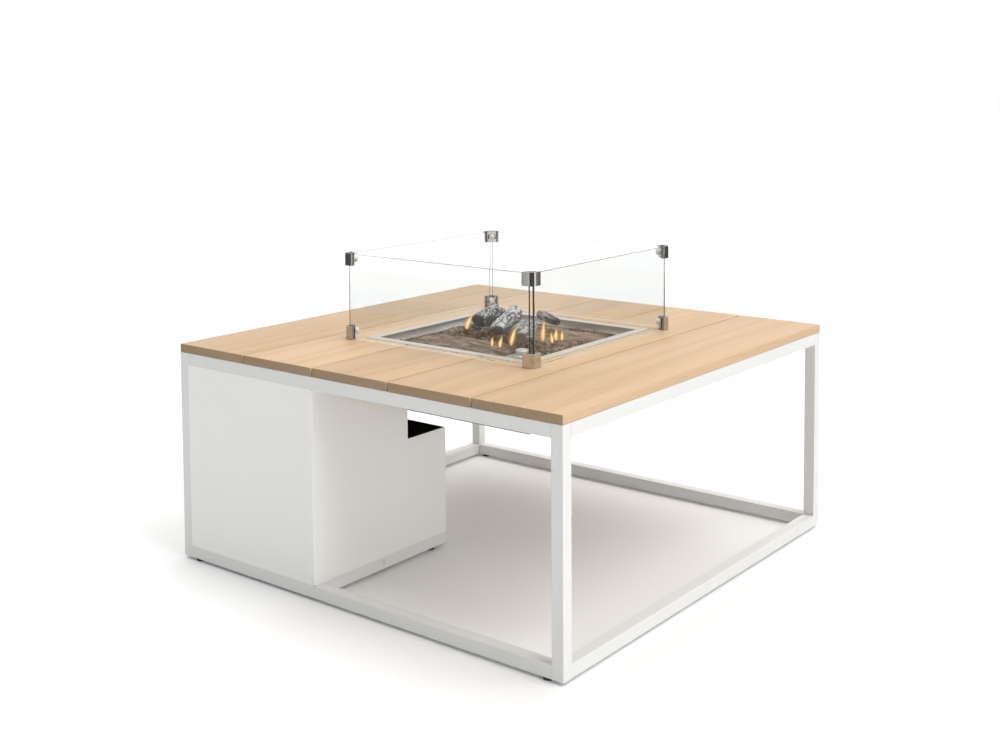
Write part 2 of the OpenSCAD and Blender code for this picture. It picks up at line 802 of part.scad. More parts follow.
module stone(seed) {
    k = rands(0.82, 1.08, 12, seed);
    rotate(37 * seed) polyhedron([for (i = [0:11]) ico[i] * stone_r * k[i]], ico_faces);
}

// Loose stones on the grate, wherever no low log and no control box is in the way
module lava_stones() {
    start = -stone_n * stone_pitch / 2 + stone_pitch / 2;
    color([0.35, 0.31, 0.29])
        for (i = [0:stone_n - 1]) for (j = [0:stone_n - 1]) {
            x = start + i * stone_pitch;
            y = start + j * stone_pitch;
            clear = min([for (n = [0, 1]) off_log(x, y, logs[n])]) - stone_r;
            in_notch = x > grate_notch - stone_r - 4 && y < -grate_notch + stone_r + 4;
            if (clear > 0 && !in_notch)
                translate([x, y, grate_top + stone_r + play]) stone(i * 17 + j);
        }
}

// ---------- glass guard ----------

// Runs its children at all four corners, with the corner's inward directions as +X and +Y
module corners() {
    for (a = [0:90:270]) rotate(a) translate([-guard_half, -guard_half, 0]) children();
}

module pane(a) {
    width = guard_w - 2 * pane_back;
    color(glass) rotate(a) translate([-width / 2, -guard_half, glass_z])
        cube([width, glass_t, glass_top - glass_z]);
}

module clip_outline() {
    g = clip_gap;
    o = clip_gap + clip_t;
    k = clip_t * tan(22.5);
    polygon([
        [clip_w, -o], [facet - k, -o], [-o, facet - k], [-o, clip_w],
        [-g, clip_w], [-g, facet], [facet, -g], [clip_w, -g]
    ]);
}

module liner_outline() {
    g = clip_gap;
    k = facet + g * tan(22.5);
    polygon([
        [clip_w, -g], [facet, -g], [-g, facet], [-g, clip_w],
        [0, clip_w], [0, k], [k, 0], [clip_w, 0]
    ]);
}

module plate_outline() {
    t = clip_t;
    b = glass_t;
    c = glass_t + plate_facet;
    k = t * tan(22.5);
    polygon([
        [clip_w, b], [c, b], [b, c], [b, clip_w],
        [b + t, clip_w], [b + t, c + k], [c + k, b + t], [clip_w, b + t]
    ]);
}

// Stud or hole square to the corner's facet, at height z, from s0 to s1 along the diagonal
module diagonal(d, z, s0, s1) {
    translate([0, 0, z]) rotate([0, 90, 45]) rod(d, s0, s1);
}

stud_from = (facet - clip_gap) / sqrt(2);
plate_in = (2 * glass_t + plate_facet) / sqrt(2);
nut_from = plate_in + clip_t + 0.1;

module guard_clips() {
    color(stainless) corners() for (c = [[clip_low, nut_low], [clip_high, nut_high]]) {
        translate([0, 0, c[0]]) linear_extrude(clip_h) clip_outline();
        diagonal(stud_d, c[1], stud_from - clip_t / 2, nut_from + nut_h - 1);
    }
}

module guard_clip_plates() {
    color(stainless) corners() for (c = [[clip_low, nut_low], [clip_high, nut_high]])
        difference() {
            translate([0, 0, c[0]]) linear_extrude(clip_h) plate_outline();
            diagonal(stud_d + 2 * seat, c[1], plate_in - cut, plate_in + clip_t + cut);
        }
}

module guard_liners() {
    color([0.85, 0.85, 0.85]) corners() for (c = [[clip_low, nut_low], [clip_high, nut_high]])
        difference() {
            translate([0, 0, c[0]]) linear_extrude(clip_h) liner_outline();
            diagonal(stud_d + 2 * seat, c[1], stud_from - cut, plate_in);
        }
}

module guard_nuts() {
    color([0.9, 0.9, 0.9]) corners() for (z = [nut_low, nut_high]) difference() {
        diagonal(nut_d, z, nut_from, nut_from + nut_h);
        diagonal(stud_d + 2 * seat, z, nut_from - cut, nut_from + nut_h - 0.5);
    }
}

module guard_pads() {
    color([0.85, 0.85, 0.85]) corners() translate([0, 0, table_h]) linear_extrude(pad_t) {
        clip_outline();
        plate_outline();
    }
}

// ---------- nodes ----------

leg(-1, -1);  // leg_front_left
leg(1, -1);  // leg_front_right
leg(1, 1);  // leg_back_right
leg(-1, 1);  // leg_back_left
top_rail_x(-1);  // top_rail_front
top_rail_y(1);  // top_rail_right
top_rail_x(1);  // top_rail_back
top_rail_y(-1);  // top_rail_left
bottom_rail_x(-1);  // bottom_rail_front
bottom_rail_y(1);  // bottom_rail_right
bottom_rail_x(1);  // bottom_rail_back
bottom_rail_y(-1);  // bottom_rail_left
cabinet_rail_side();
cabinet_rail_back();
beams();
feet();
cabinet_panel();
cabinet_back_panel();
cabinet_floor();
cabinet_screws();
cabinet_door();
door_pivot_pins();
door_catches();
board(0, -y_out, y_out);  // board_1
board(1, -y_out, y_out);  // board_2
board(2, -y_out, -hole_half);  // board_3_front
board(2, hole_half, y_out);  // board_3_back
board(3, -y_out, y_out);  // board_4
board(4, -y_out, y_out);  // board_5
board_screws();
burner_pan();
burner_housing();
control_box();
gas_valve();
valve_plunger();
valve_stem();
control_knob();
supply_pipe();
feed_pipe();
gas_injector();
burner_ring();
thermocouple();
spark_electrode();
fire_grate();
lava_stones();
log_piece(0, bark);  // log_base_front
log_piece(1, bark);  // log_base_back
log_piece(2, bark);  // log_front
log_piece(3, ash);  // log_ash
log_piece(4, ash);  // log_cross
log_piece(5, ash);  // log_charred
pane(0);  // pane_front
pane(90);  // pane_right
pane(180);  // pane_back
pane(270);  // pane_left
guard_clips();
guard_clip_plates();
guard_liners();
guard_nuts();
guard_pads();
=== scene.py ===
# %% [markdown]
# # A gas fire-pit table, looked at closely
#
# The CAD model gives the structure: tubes, sheets, planks, burner, guard. This lesson gives
# each of them the surface that the real one has. Where a plain CAD solid is already the right
# shape, it stays and only gets a finish. Where the real piece is softer, rougher or finer than
# the solid, such as a plank with eased edges or a log with bark, a new mesh takes its place.

# %% Open the frame
import bpy
import bmesh
import math
import random
import numpy as np
from mathutils import Matrix, Vector, noise


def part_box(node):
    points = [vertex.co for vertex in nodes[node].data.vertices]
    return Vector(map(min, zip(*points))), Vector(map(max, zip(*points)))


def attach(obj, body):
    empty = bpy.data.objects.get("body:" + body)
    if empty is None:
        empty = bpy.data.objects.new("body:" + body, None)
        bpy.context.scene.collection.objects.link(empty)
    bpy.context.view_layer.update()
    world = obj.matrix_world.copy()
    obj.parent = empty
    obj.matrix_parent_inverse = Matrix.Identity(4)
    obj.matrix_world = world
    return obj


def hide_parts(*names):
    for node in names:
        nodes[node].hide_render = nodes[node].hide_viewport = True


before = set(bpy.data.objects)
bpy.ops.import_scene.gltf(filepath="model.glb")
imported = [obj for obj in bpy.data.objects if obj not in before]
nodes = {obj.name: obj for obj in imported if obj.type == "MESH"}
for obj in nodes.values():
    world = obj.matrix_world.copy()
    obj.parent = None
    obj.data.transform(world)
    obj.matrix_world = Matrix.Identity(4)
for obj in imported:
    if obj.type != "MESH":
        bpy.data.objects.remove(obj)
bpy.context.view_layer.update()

# %% [markdown]
# ## Measures
#
# Everything is placed from the CAD nodes. A few of their boxes are used again and again, so
# they get plain names here.

# %% Measures
MM = 0.001
table_low, table_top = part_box("board_1")
top_z = table_top.z
plank_t = table_top.z - table_low.z
hole_half = -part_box("board_3_front")[1].y
grate_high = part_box("fire_grate")[1]
grate_z = grate_high.z
grate_half = grate_high.x
rim_low, rim_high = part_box("burner_pan")
print("plank top at", round(top_z, 4), "m, planks", round(plank_t / MM, 1), "mm thick")
print("opening in the planks:", round(2 * hole_half / MM), "mm square")

# %% [markdown]
# ## Small tools for making pieces
#
# A piece is always made the same way: points and faces go into a mesh, the mesh into an object,
# and the object rides on one of the CAD bodies. `soften` rounds the edges of a sharp piece with a
# bevel, because no real edge is perfectly sharp and a thin highlight along it is what makes
# metal look like metal.

# %% Tools for pieces
def piece_from_mesh(name, mesh, body, finish):
    obj = bpy.data.objects.new(name, mesh)
    bpy.context.scene.collection.objects.link(obj)
    mesh.materials.append(finish)
    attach(obj, body)
    return obj


def mesh_from_bm(name, bm, smooth=True):
    mesh = bpy.data.meshes.new(name)
    bm.to_mesh(mesh)
    bm.free()
    mesh.polygons.foreach_set("use_smooth", [smooth] * len(mesh.polygons))
    return mesh


def soften(obj, width, segments=2, angle=40):
    bevel = obj.modifiers.new("eased edges", "BEVEL")
    bevel.width = width
    bevel.segments = segments
    bevel.limit_method = "ANGLE"
    bevel.angle_limit = math.radians(angle)
    bevel.harden_normals = True
    bevel.use_clamp_overlap = True
    return obj


def paint_values(mesh, name, values):
    """Stores one number per point, which a finish can read by name."""
    layer = mesh.attributes.new(name, "FLOAT", "POINT")
    layer.data.foreach_set("value", np.asarray(values, dtype=np.float32))


# %% [markdown]
# ## Small tools for finishes
#
# Every finish is a Principled shader with a few nodes in front of it. `Finish` keeps the node
# tree and offers the steps that come back: noise of a given size, a colour ramp, a bump.
# Texture coordinates are the object's own, in metres, so the scale of a noise is in features
# per metre, and the pattern stays on the piece when the piece moves.

# %% Tools for finishes
def feed(tree, value, socket):
    """Links one socket to another, or sets it to a constant."""
    if isinstance(value, bpy.types.NodeSocket):
        tree.links.new(value, socket)
    else:
        socket.default_value = value


def calculate(tree, kind, *values):
    """One Math node, such as ADD or SQRT, fed with sockets or numbers."""
    step = tree.nodes.new("ShaderNodeMath")
    step.operation = kind
    for value, socket in zip(values, step.inputs):
        feed(tree, value, socket)
    return step.outputs[0]


class Finish:
    def __init__(self, name):
        self.material = bpy.data.materials.new(name)
        self.material.use_nodes = True
        self.tree = self.material.node_tree
        self.shader = self.tree.nodes["Principled BSDF"]
        self.place = self.tree.nodes.new("ShaderNodeTexCoord").outputs["Object"]

    def node(self, kind, **settings):
        made = self.tree.nodes.new("ShaderNode" + kind)
        for key, value in settings.items():
            setattr(made, key, value)
        return made

    def link(self, source, target):
        self.tree.links.new(source, target)

    def set(self, **values):
        """Sets the shader's own sockets; a name's underscores stand for spaces."""
        for key, value in values.items():
            self.shader.inputs[key.replace("_", " ")].default_value = value

    def stretched(self, x, y, z, source=None):
        mapping = self.node("Mapping")
        mapping.inputs["Scale"].default_value = (x, y, z)
        self.link(source or self.place, mapping.inputs["Vector"])
        return mapping.outputs["Vector"]

    def noise(self, scale, detail=3.0, rough=0.5, source=None, distortion=0.0):
        tex = self.node("TexNoise")
        tex.inputs["Scale"].default_value = scale
        tex.inputs["Detail"].default_value = detail
        tex.inputs["Roughness"].default_value = rough
        tex.inputs["Distortion"].default_value = distortion
        self.link(source or self.place, tex.inputs["Vector"])
        return tex.outputs["Fac"]

    def attribute(self, name):
        return self.node("Attribute", attribute_name=name).outputs["Fac"]

    def ramp(self, factor, *stops):
        """Colours at places along 0 to 1, given as (place, colour)."""
        ramp = self.node("ValToRGB")
        while len(ramp.color_ramp.elements) < len(stops):
            ramp.color_ramp.elements.new(0.5)
        for element, (place, colour) in zip(ramp.color_ramp.elements, stops):
            element.position = place
            element.color = (*colour, 1.0)
        self.link(factor, ramp.inputs["Fac"])
        return ramp.outputs["Color"]

    def grey(self, factor, low, high, start=0.0, end=1.0):
        """Rescales a 0 to 1 value to low to high, between two places."""
        step = self.node("MapRange")
        step.inputs["From Min"].default_value = start
        step.inputs["From Max"].default_value = end
        step.inputs["To Min"].default_value = low
        step.inputs["To Max"].default_value = high
        self.link(factor, step.inputs["Value"])
        return step.outputs["Result"]

    def mix(self, factor, a, b, blend="MIX"):
        """Mixes two colours, each a socket or an (r, g, b); the factor may be a number."""
        mixer = self.node("Mix", data_type="RGBA", blend_type=blend)
        feed(self.tree, factor, mixer.inputs[0])
        for value, socket in ((a, mixer.inputs[6]), (b, mixer.inputs[7])):
            feed(self.tree, (*value, 1.0) if isinstance(value, tuple) else value, socket)
        return mixer.outputs[2]

    def sum(self, a, b, kind="ADD"):
        return calculate(self.tree, kind, a, b)

    def bump(self, height, distance, strength=1.0):
        bump = self.node("Bump")
        bump.inputs["Distance"].default_value = distance
        bump.inputs["Strength"].default_value = strength
        self.link(height, bump.inputs["Height"])
        self.link(bump.outputs["Normal"], self.shader.inputs["Normal"])

    def colour(self, socket):
        self.link(socket, self.shader.inputs["Base Color"])

    def roughness(self, socket):
        self.link(socket, self.shader.inputs["Roughness"])


def dress(finish, *names):
    """Gives CAD nodes a finish in place of their plain one."""
    for name in names:
        data = nodes[name].data
        data.materials.clear()
        data.materials.append(finish.material)


# %% [markdown]
# ## Camera
#
# The camera stands about 2.9 m from the table, at the right front corner, with its eye a metre
# up, and looks a few degrees down. Product pictures like this are usually cropped from a larger
# one, so the optical axis is above the middle of the picture: that is what the lens shift is for.
# It keeps upright edges nearly upright while the table sits low in the frame.

# %% Camera
camera_data = bpy.data.cameras.new("camera")
camera_data.lens = 47.288
camera_data.sensor_width = 36.0
camera_data.shift_y = -0.2044
camera = bpy.data.objects.new("camera", camera_data)
bpy.context.scene.collection.objects.link(camera)
camera.location = (1.7496, -2.2495, 1.0242)
camera_tilt = 4.007
camera_roll = 0.389
camera_heading = 38.211
camera.rotation_euler = tuple(math.radians(a) for a in (90 - camera_tilt, camera_roll, camera_heading))
bpy.context.scene.camera = camera
bpy.context.scene.view_settings.view_transform = "Standard"

# %% [markdown]
# ## Studio
#
# A white floor that runs to the horizon, and two very soft suns: the stronger one shines straight
# down, and the weaker one stands at the right and pushes the table's shadow to the left. A sun
# lights the whole floor evenly, which a lamp close by can't do.
#
# Polished metal shows what stands around it. In an all-white room it would look like grey paint,
# so the surround is dim, with three tall soft boxes in it: in front, at the right and behind.
# The camera itself sees plain white behind the table: a Light Path node tells its rays apart.

# %% Studio
def studio_floor():
    span = 60.0
    bm = bmesh.new()
    bmesh.ops.create_grid(bm, x_segments=8, y_segments=8, size=span / 2)
    floor = bpy.data.objects.new("floor", mesh_from_bm("floor", bm))
    bpy.context.scene.collection.objects.link(floor)
    white = Finish("studio floor")
    white.set(Roughness=0.6)
    white.colour(white.ramp(white.noise(0.7), (0.0, (0.93, 0.93, 0.93)), (1.0, (0.95, 0.95, 0.95))))
    floor.data.materials.append(white.material)
    floor.visible_glossy = False


def soft_sun(name, towards, strength, spread):
    """A sun whose light comes from the direction `towards`, over a disc `spread` degrees wide."""
    data = bpy.data.lights.new(name, "SUN")
    data.energy = strength
    data.angle = math.radians(spread)
    obj = bpy.data.objects.new(name, data)
    bpy.context.scene.collection.objects.link(obj)
    obj.rotation_euler = Vector(towards).to_track_quat("Z", "Y").to_euler()
    return obj


def surround(dim, boxes):
    """A dim room with upright soft boxes, each given as heading, half width in degrees, brightness."""
    world = bpy.data.worlds.new("studio")
    bpy.context.scene.world = world
    world.use_nodes = True
    tree = world.node_tree
    room = tree.nodes["Background"]

    def step(kind, *values):
        return calculate(tree, kind, *values)

    split = tree.nodes.new("ShaderNodeSeparateXYZ")
    tree.links.new(tree.nodes.new("ShaderNodeTexCoord").outputs["Generated"], split.inputs[0])
    x, y, z = split.outputs
    level = step("SQRT", step("ADD", step("MULTIPLY", x, x), step("MULTIPLY", y, y)))
    light = dim
    for heading, half_width, brightness in boxes:
        a = math.radians(heading)
        along = step("ADD", step("MULTIPLY", x, math.cos(a)), step("MULTIPLY", y, math.sin(a)))
        angle = step("ARCCOSINE", step("MINIMUM", step("DIVIDE", along, step("MAXIMUM", level, 0.001)), 1.0))
        inside = tree.nodes.new("ShaderNodeMapRange")
        inside.interpolation_type = "SMOOTHSTEP"
        inside.inputs["From Min"].default_value = math.radians(half_width + 4)
        inside.inputs["From Max"].default_value = math.radians(half_width - 4)
        tree.links.new(angle, inside.inputs["Value"])
        light = step("ADD", light, step("MULTIPLY", inside.outputs["Result"], brightness))
    tree.links.new(light, room.inputs["Strength"])
    room.inputs["Color"].default_value = (1.0, 0.995, 0.985, 1.0)
    backdrop = tree.nodes.new("ShaderNodeBackground")
    backdrop.inputs["Color"].default_value = (1.0, 1.0, 1.0, 1.0)
    path = tree.nodes.new("ShaderNodeLightPath")
    seen = step("MAXIMUM", path.outputs["Is Camera Ray"], path.outputs["Is Transmission Ray"])
    switch = tree.nodes.new("ShaderNodeMixShader")
    tree.links.new(seen, switch.inputs[0])
    tree.links.new(room.outputs[0], switch.inputs[1])
    tree.links.new(backdrop.outputs[0], switch.inputs[2])
    tree.links.new(switch.outputs[0], tree.nodes["World Output"].inputs["Surface"])


studio_floor()
surround(0.10, ((262, 30, 0.64), (17, 30, 1.6), (128, 48, 0.88)))
soft_sun("right", (0.80, 0.0, 0.95), 0.80, 40)
soft_sun("overhead", (0.0, 0.1, 1.0), 1.28, 60)
print("studio: a floor, a surround with three soft boxes, and two soft suns")

# %% [markdown]
# ## White powder coat
#
# Powder coat is baked-on plastic. It isn't mirror smooth: it has a very fine, shallow ripple,
# called orange peel, with bumps about a millimetre across. Seen from two metres the ripple only
# breaks up the highlight, so it is a bump and not geometry. The white drifts by a percent or two
# over the length of a tube.

# %% White powder coat
def powder_coat(name, ripple, white):
    coat = Finish(name)
    coat.set(Metallic=0.0, IOR=1.5)
    drift = coat.noise(2.5, 2.0)
    coat.colour(coat.ramp(drift, (0.3, tuple(0.97 * c for c in white)), (0.7, white)))
    coat.roughness(coat.grey(coat.noise(90.0, 2.0), 0.38, 0.50))
    coat.bump(coat.noise(ripple, 2.0), 0.00012, 0.35)
    return coat


tube_coat = powder_coat("powder coat on tube", 900.0, (0.775, 0.775, 0.765))
# the sheets' whiter base, 0.90 against the tubes' 0.775, is painted light: it makes the cabinet's panels
# come out brighter than the tubes
sheet_coat_painted_lighter = powder_coat("powder coat on sheet, painted lighter", 700.0, (0.90, 0.90, 0.885))
tubes = [n for n in nodes if n.startswith(("leg_", "top_rail", "bottom_rail", "cabinet_rail", "beams"))]
dress(tube_coat, *tubes)
dress(sheet_coat_painted_lighter, "cabinet_panel", "cabinet_floor", "cabinet_door")
print(len(tubes), "tubes and 3 sheets in powder coat")

# %% [markdown]
# The cabinet's back is white outside, and its inner face is painted near-black: painted shade for
# the dark inside of the box. A single sheet has two faces, so the finish has to know which one it
# is on: the face that looks forward into the cabinet gets the painted shade. The shader's geometry
# normal tells them apart.

# %% The cabinet's back, with painted shade inside
def coat_with_painted_inner_shade():
    coat = Finish("powder coat, painted shade inside")
    normal = coat.node("NewGeometry").outputs["Normal"]
    split = coat.node("SeparateXYZ")
    coat.link(normal, split.inputs[0])
    # the face that looks into the cabinet is painted near-black: painted shade for the dark inside of the
    # box
    inside = coat.sum(coat.sum(split.outputs["Y"], -0.5, "LESS_THAN"), 1.0, "MULTIPLY")
    white = coat.ramp(coat.noise(2.5, 2.0), (0.3, (0.775, 0.775, 0.765)), (0.7, (0.80, 0.80, 0.79)))
    coat.colour(coat.mix(inside, white, (0.035, 0.030, 0.024)))
    coat.roughness(coat.grey(coat.noise(90.0, 2.0), 0.38, 0.50))
    coat.bump(coat.noise(700.0, 2.0), 0.00012, 0.35)
    return coat


dress(coat_with_painted_inner_shade(), "cabinet_back_panel")
for name, width in (("cabinet_door", 1.2), ("cabinet_floor", 1.2)):
    soften(nodes[name], width * MM, 3)
print("door and floor edges rounded like folded sheet")

# %% [markdown]
# ## Teak
#
# The planks run from front to back. Their tops show long, gentle growth lines and very fine
# pores, and their ends, on the front and back edges, show end grain, which soaks up oil and is
# darker. Each plank is cut from a different board, so each has its own place in the pattern and
# its own shade. The wood is worked out in three dimensions, so the lines run over the edges.

# %% Teak
def teak():
    wood = Finish("teak")
    plank = wood.attribute("plank")
    shift = wood.node("CombineXYZ")
    wood.link(wood.sum(plank, 0.37, "MULTIPLY"), shift.inputs[0])
    wood.link(wood.sum(plank, 1.91, "MULTIPLY"), shift.inputs[1])
    wood.link(wood.sum(plank, 0.73, "MULTIPLY"), shift.inputs[2])
    place = wood.node("VectorMath", operation="ADD")
    wood.link(wood.place, place.inputs[0])
    wood.link(shift.outputs[0], place.inputs[1])
    place = place.outputs[0]

    lines = wood.node("TexWave", wave_type="BANDS", bands_direction="X")
    lines.inputs["Scale"].default_value = 4.0
    lines.inputs["Distortion"].default_value = 16.0
    lines.inputs["Detail"].default_value = 4.0
    lines.inputs["Detail Scale"].default_value = 1.6
    wood.link(wood.stretched(1.0, 0.07, 1.6, place), lines.inputs["Vector"])
    growth = lines.outputs["Fac"]
    broad = wood.noise(7.0, 3.0, source=wood.stretched(1.0, 0.14, 1.0, place))
    fibre = wood.noise(520.0, 3.0, source=wood.stretched(1.0, 0.035, 1.0, place))
    pores = wood.noise(760.0, 1.0, source=wood.stretched(1.0, 0.05, 1.0, place))

    ground = wood.ramp(growth, (0.0, (0.590, 0.402, 0.242)), (0.4, (0.625, 0.434, 0.268)),
                       (1.0, (0.640, 0.448, 0.280)))
    shade = wood.ramp(broad, (0.25, (0.93, 0.92, 0.90)), (0.75, (1.03, 1.03, 1.03)))
    ground = wood.mix(1.0, ground, shade, "MULTIPLY")
    streaky = wood.ramp(fibre, (0.3, (0.93, 0.92, 0.90)), (0.7, (1.04, 1.04, 1.04)))
    ground = wood.mix(1.0, ground, streaky, "MULTIPLY")
    dark_pores = wood.grey(pores, 0.0, 0.30, 0.66, 0.74)
    ground = wood.mix(dark_pores, ground, (0.36, 0.22, 0.11))
    own_tint = wood.ramp(wood.attribute("tint"), (0.0, (0.93, 0.92, 0.90)), (1.0, (1.05, 1.05, 1.05)))
    ground = wood.mix(1.0, ground, own_tint, "MULTIPLY")

    normal = wood.node("SeparateXYZ")
    wood.link(wood.node("NewGeometry").outputs["Normal"], normal.inputs[0])
    end_face = wood.sum(wood.sum(normal.outputs["Y"], 0.0, "ABSOLUTE"), 0.6, "GREATER_THAN")
    end_rings = wood.noise(260.0, 3.0, source=wood.stretched(1.0, 1.0, 3.0, place))
    end_colour = wood.ramp(end_rings, (0.3, (0.31, 0.208, 0.122)), (0.7, (0.40, 0.285, 0.178)))
    wood.colour(wood.mix(end_face, ground, end_colour))
    wood.roughness(wood.grey(fibre, 0.42, 0.58))
    wood.set(IOR=1.45)
    wood.bump(wood.sum(fibre, wood.sum(dark_pores, -1.2, "MULTIPLY"), "ADD"), 0.0002, 0.5)
    return wood


teak_finish = teak()
print("teak finish with", len(teak_finish.tree.nodes), "nodes")

# %% [markdown]
# The planks are new meshes, because a plank's edges are eased by a small cutter. The outline of
# each is its CAD box, and the two planks beside the burner lose the part that the opening takes.
# The outline is extruded and every edge rounded by two millimetres.

# %% Planks
def plank_outline(low, high):
    """Corners of a plank, counter-clockwise, with the burner's opening cut out of its side."""
    h = hole_half
    x0, x1, y0, y1 = low.x, high.x, low.y, high.y
    if y1 - y0 < 1.5 * h or x0 >= h or x1 <= -h:
        return [(x0, y0), (x1, y0), (x1, y1), (x0, y1)]
    if x0 < -h:
        return [(x0, y0), (x1, y0), (x1, -h), (-h, -h), (-h, h), (x1, h), (x1, y1), (x0, y1)]
    return [(x0, y0), (x1, y0), (x1, y1), (x0, y1), (x0, h), (h, h), (h, -h), (x0, -h)]


def plank(node, seed, ease=0.002):
    low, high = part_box(node)
    bm = bmesh.new()
    ring = [bm.verts.new((x, y, low.z)) for x, y in plank_outline(low, high)]
    base = bm.faces.new(ring)
    risen = bmesh.ops.extrude_face_region(bm, geom=[base])["geom"]
    lifted = [v for v in risen if isinstance(v, bmesh.types.BMVert)]
    bmesh.ops.translate(bm, vec=(0, 0, high.z - low.z), verts=lifted)
    bmesh.ops.recalc_face_normals(bm, faces=bm.faces)
    bmesh.ops.bevel(bm, geom=list(bm.edges), offset=ease, segments=3, affect="EDGES", profile=0.5)
    mesh = mesh_from_bm(node + "_plank", bm)
    mesh.set_sharp_from_angle(angle=math.radians(35))
    count = len(mesh.vertices)
    paint_values(mesh, "plank", [seed] * count)
    paint_values(mesh, "tint", [random.Random(seed).random()] * count)
    obj = piece_from_mesh(node + "_plank", mesh, "table", teak_finish.material)
    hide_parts(node)
    return obj


plank_nodes = [n for n in nodes if n.startswith("board_") and n != "board_screws"]
for seed, name in enumerate(sorted(plank_nodes)):
    plank(name, seed + 1)
print(len(plank_nodes), "planks with eased edges")

# %% [markdown]
# ## Burner steel
#
# The rim, the stepped ledge and the pan are pressed from brushed stainless sheet. Brushing
# leaves fine parallel scratches, which stretch a highlight across them. The sheet keeps its CAD
# shape; a bevel gives its edges the small radius of the press.

# %% Burner steel
def brushed_steel(name, colour, along, rough=(0.22, 0.40), scratches=900.0):
    steel = Finish(name)
    steel.set(Metallic=1.0)
    stretch = [1.0, 1.0, 1.0]
    stretch[along] = 0.02
    brushing = steel.noise(scratches, 3.0, source=steel.stretched(*stretch))
    clouds = steel.noise(9.0, 3.0)
    dark = tuple(c * 0.90 for c in colour)
    steel.colour(steel.ramp(steel.sum(brushing, clouds, "MULTIPLY"), (0.15, dark), (0.45, colour)))
    steel.roughness(steel.grey(brushing, *rough))
    steel.bump(brushing, 0.00006, 0.5)
    return steel


rim_steel = brushed_steel("rim steel", (0.74, 0.73, 0.71), 0)
plate_steel = brushed_steel("control plate steel", (0.70, 0.69, 0.67), 1)
housing_steel = brushed_steel("housing steel", (0.42, 0.41, 0.40), 0, (0.35, 0.55))
dress(rim_steel, "burner_pan")
dress(plate_steel, "control_box")
dress(housing_steel, "burner_housing")
soften(nodes["burner_pan"], 0.35 * MM)
soften(nodes["control_box"], 0.35 * MM)
soften(nodes["burner_housing"], 0.5 * MM)
print("rim is", round((rim_high.x - rim_low.x) / MM), "mm wide")

# %% [markdown]
# ## Small metal and plastic parts
#
# Screws, pins, pipes and feet stay as CAD solids. Each still gets its own finish: turned brass
# with lathe lines, plated screws, rubbery black feet, white glazed ceramic round the spark
# electrode, and the blued, sooty steel of the burner ring.

# %% Finishes for small parts
def turned_metal(name, colour, rough, lines=1400.0):
    metal = Finish(name)
    metal.set(Metallic=1.0)
    turning = metal.noise(lines, 2.0, source=metal.stretched(0.2, 0.2, 1.0))
    stain = metal.noise(60.0, 3.0)
    metal.colour(metal.ramp(stain, (0.3, tuple(c * 0.82 for c in colour)), (0.7, colour)))
    metal.roughness(metal.grey(turning, rough - 0.08, rough + 0.12))
    metal.bump(turning, 0.00004, 0.4)
    return metal


def moulded(name, colour, rough, grain=1100.0):
    plastic = Finish(name)
    plastic.set(IOR=1.5)
    speckle = plastic.noise(grain, 2.0)
    plastic.colour(plastic.ramp(speckle, (0.3, tuple(c * 0.85 for c in colour)), (0.7, colour)))
    plastic.roughness(plastic.grey(plastic.noise(70.0, 2.0), rough - 0.08, rough + 0.1))
    plastic.bump(speckle, 0.0001, 0.4)
    return plastic


brass = turned_metal("brass", (0.62, 0.44, 0.20), 0.32)
screw_plate = turned_metal("zinc plated screws", (0.62, 0.62, 0.61), 0.30)
sooty_steel = turned_metal("heat-blued burner steel", (0.20, 0.18, 0.20), 0.42)
black_plastic = moulded("black plastic", (0.028, 0.028, 0.028), 0.55)
ceramic = moulded("glazed ceramic", (0.82, 0.80, 0.76), 0.25)
rubber = moulded("silicone", (0.30, 0.29, 0.28), 0.45)
dress(brass, "gas_valve", "valve_plunger", "supply_pipe", "feed_pipe", "gas_injector")
dress(screw_plate, "board_screws", "cabinet_screws", "door_pivot_pins", "valve_stem")
dress(sooty_steel, "burner_ring", "thermocouple")
dress(ceramic, "spark_electrode")
dress(black_plastic, "feet", "door_catches")
dress(rubber, "guard_pads", "guard_liners")
soften(nodes["feet"], 0.8 * MM)
soften(nodes["door_catches"], 0.8 * MM)
soften(nodes["cabinet_screws"], 0.3 * MM)
soften(nodes["gas_valve"], 0.5 * MM)
print("small parts dressed")

# %% Cast iron grate
def cast_iron():
    iron = Finish("cast iron")
    iron.set(Metallic=0.2)
    sand = iron.noise(650.0, 4.0, 0.6)
    rust = iron.grey(iron.noise(45.0, 4.0), 0.0, 0.55, 0.55, 0.75)
    iron.colour(iron.mix(rust, (0.030, 0.028, 0.027), (0.10, 0.045, 0.022)))
    iron.roughness(iron.grey(sand, 0.60, 0.85))
    iron.bump(sand, 0.0004, 0.6)
    return iron


dress(cast_iron(), "fire_grate")
print("grate dressed")

# %% [markdown]
# ## Ceramic logs
#
# The logs are cast ceramic, moulded from real wood. Each starts from the skin of its CAD solid,
# rebuilt as an even mesh with points two millimetres apart. Then every point is pushed in or
# out along its normal by a bark pattern, whose furrows run along the log, and by knots and
# cracks. The ends are left flat, with shallow growth rings. Each point also stores what the
# finish needs to know: how deep in a furrow it is, how much it looks up, where ash settles, and
# whether it is on a sawn end.

# %% Log mesh
def even_skin(node, step):
    """A copy of a CAD solid's skin with evenly spaced points."""
    source = nodes[node].data.copy()
    obj = bpy.data.objects.new("log_source", source)
    bpy.context.scene.collection.objects.link(obj)
    remesh = obj.modifiers.new("even", "REMESH")
    remesh.mode = "VOXEL"
    remesh.voxel_size = step
    relax = obj.modifiers.new("relax", "SMOOTH")
    relax.iterations = 3
    skin = bpy.data.meshes.new_from_object(obj.evaluated_get(bpy.context.evaluated_depsgraph_get()))
    bpy.data.objects.remove(obj)
    return skin


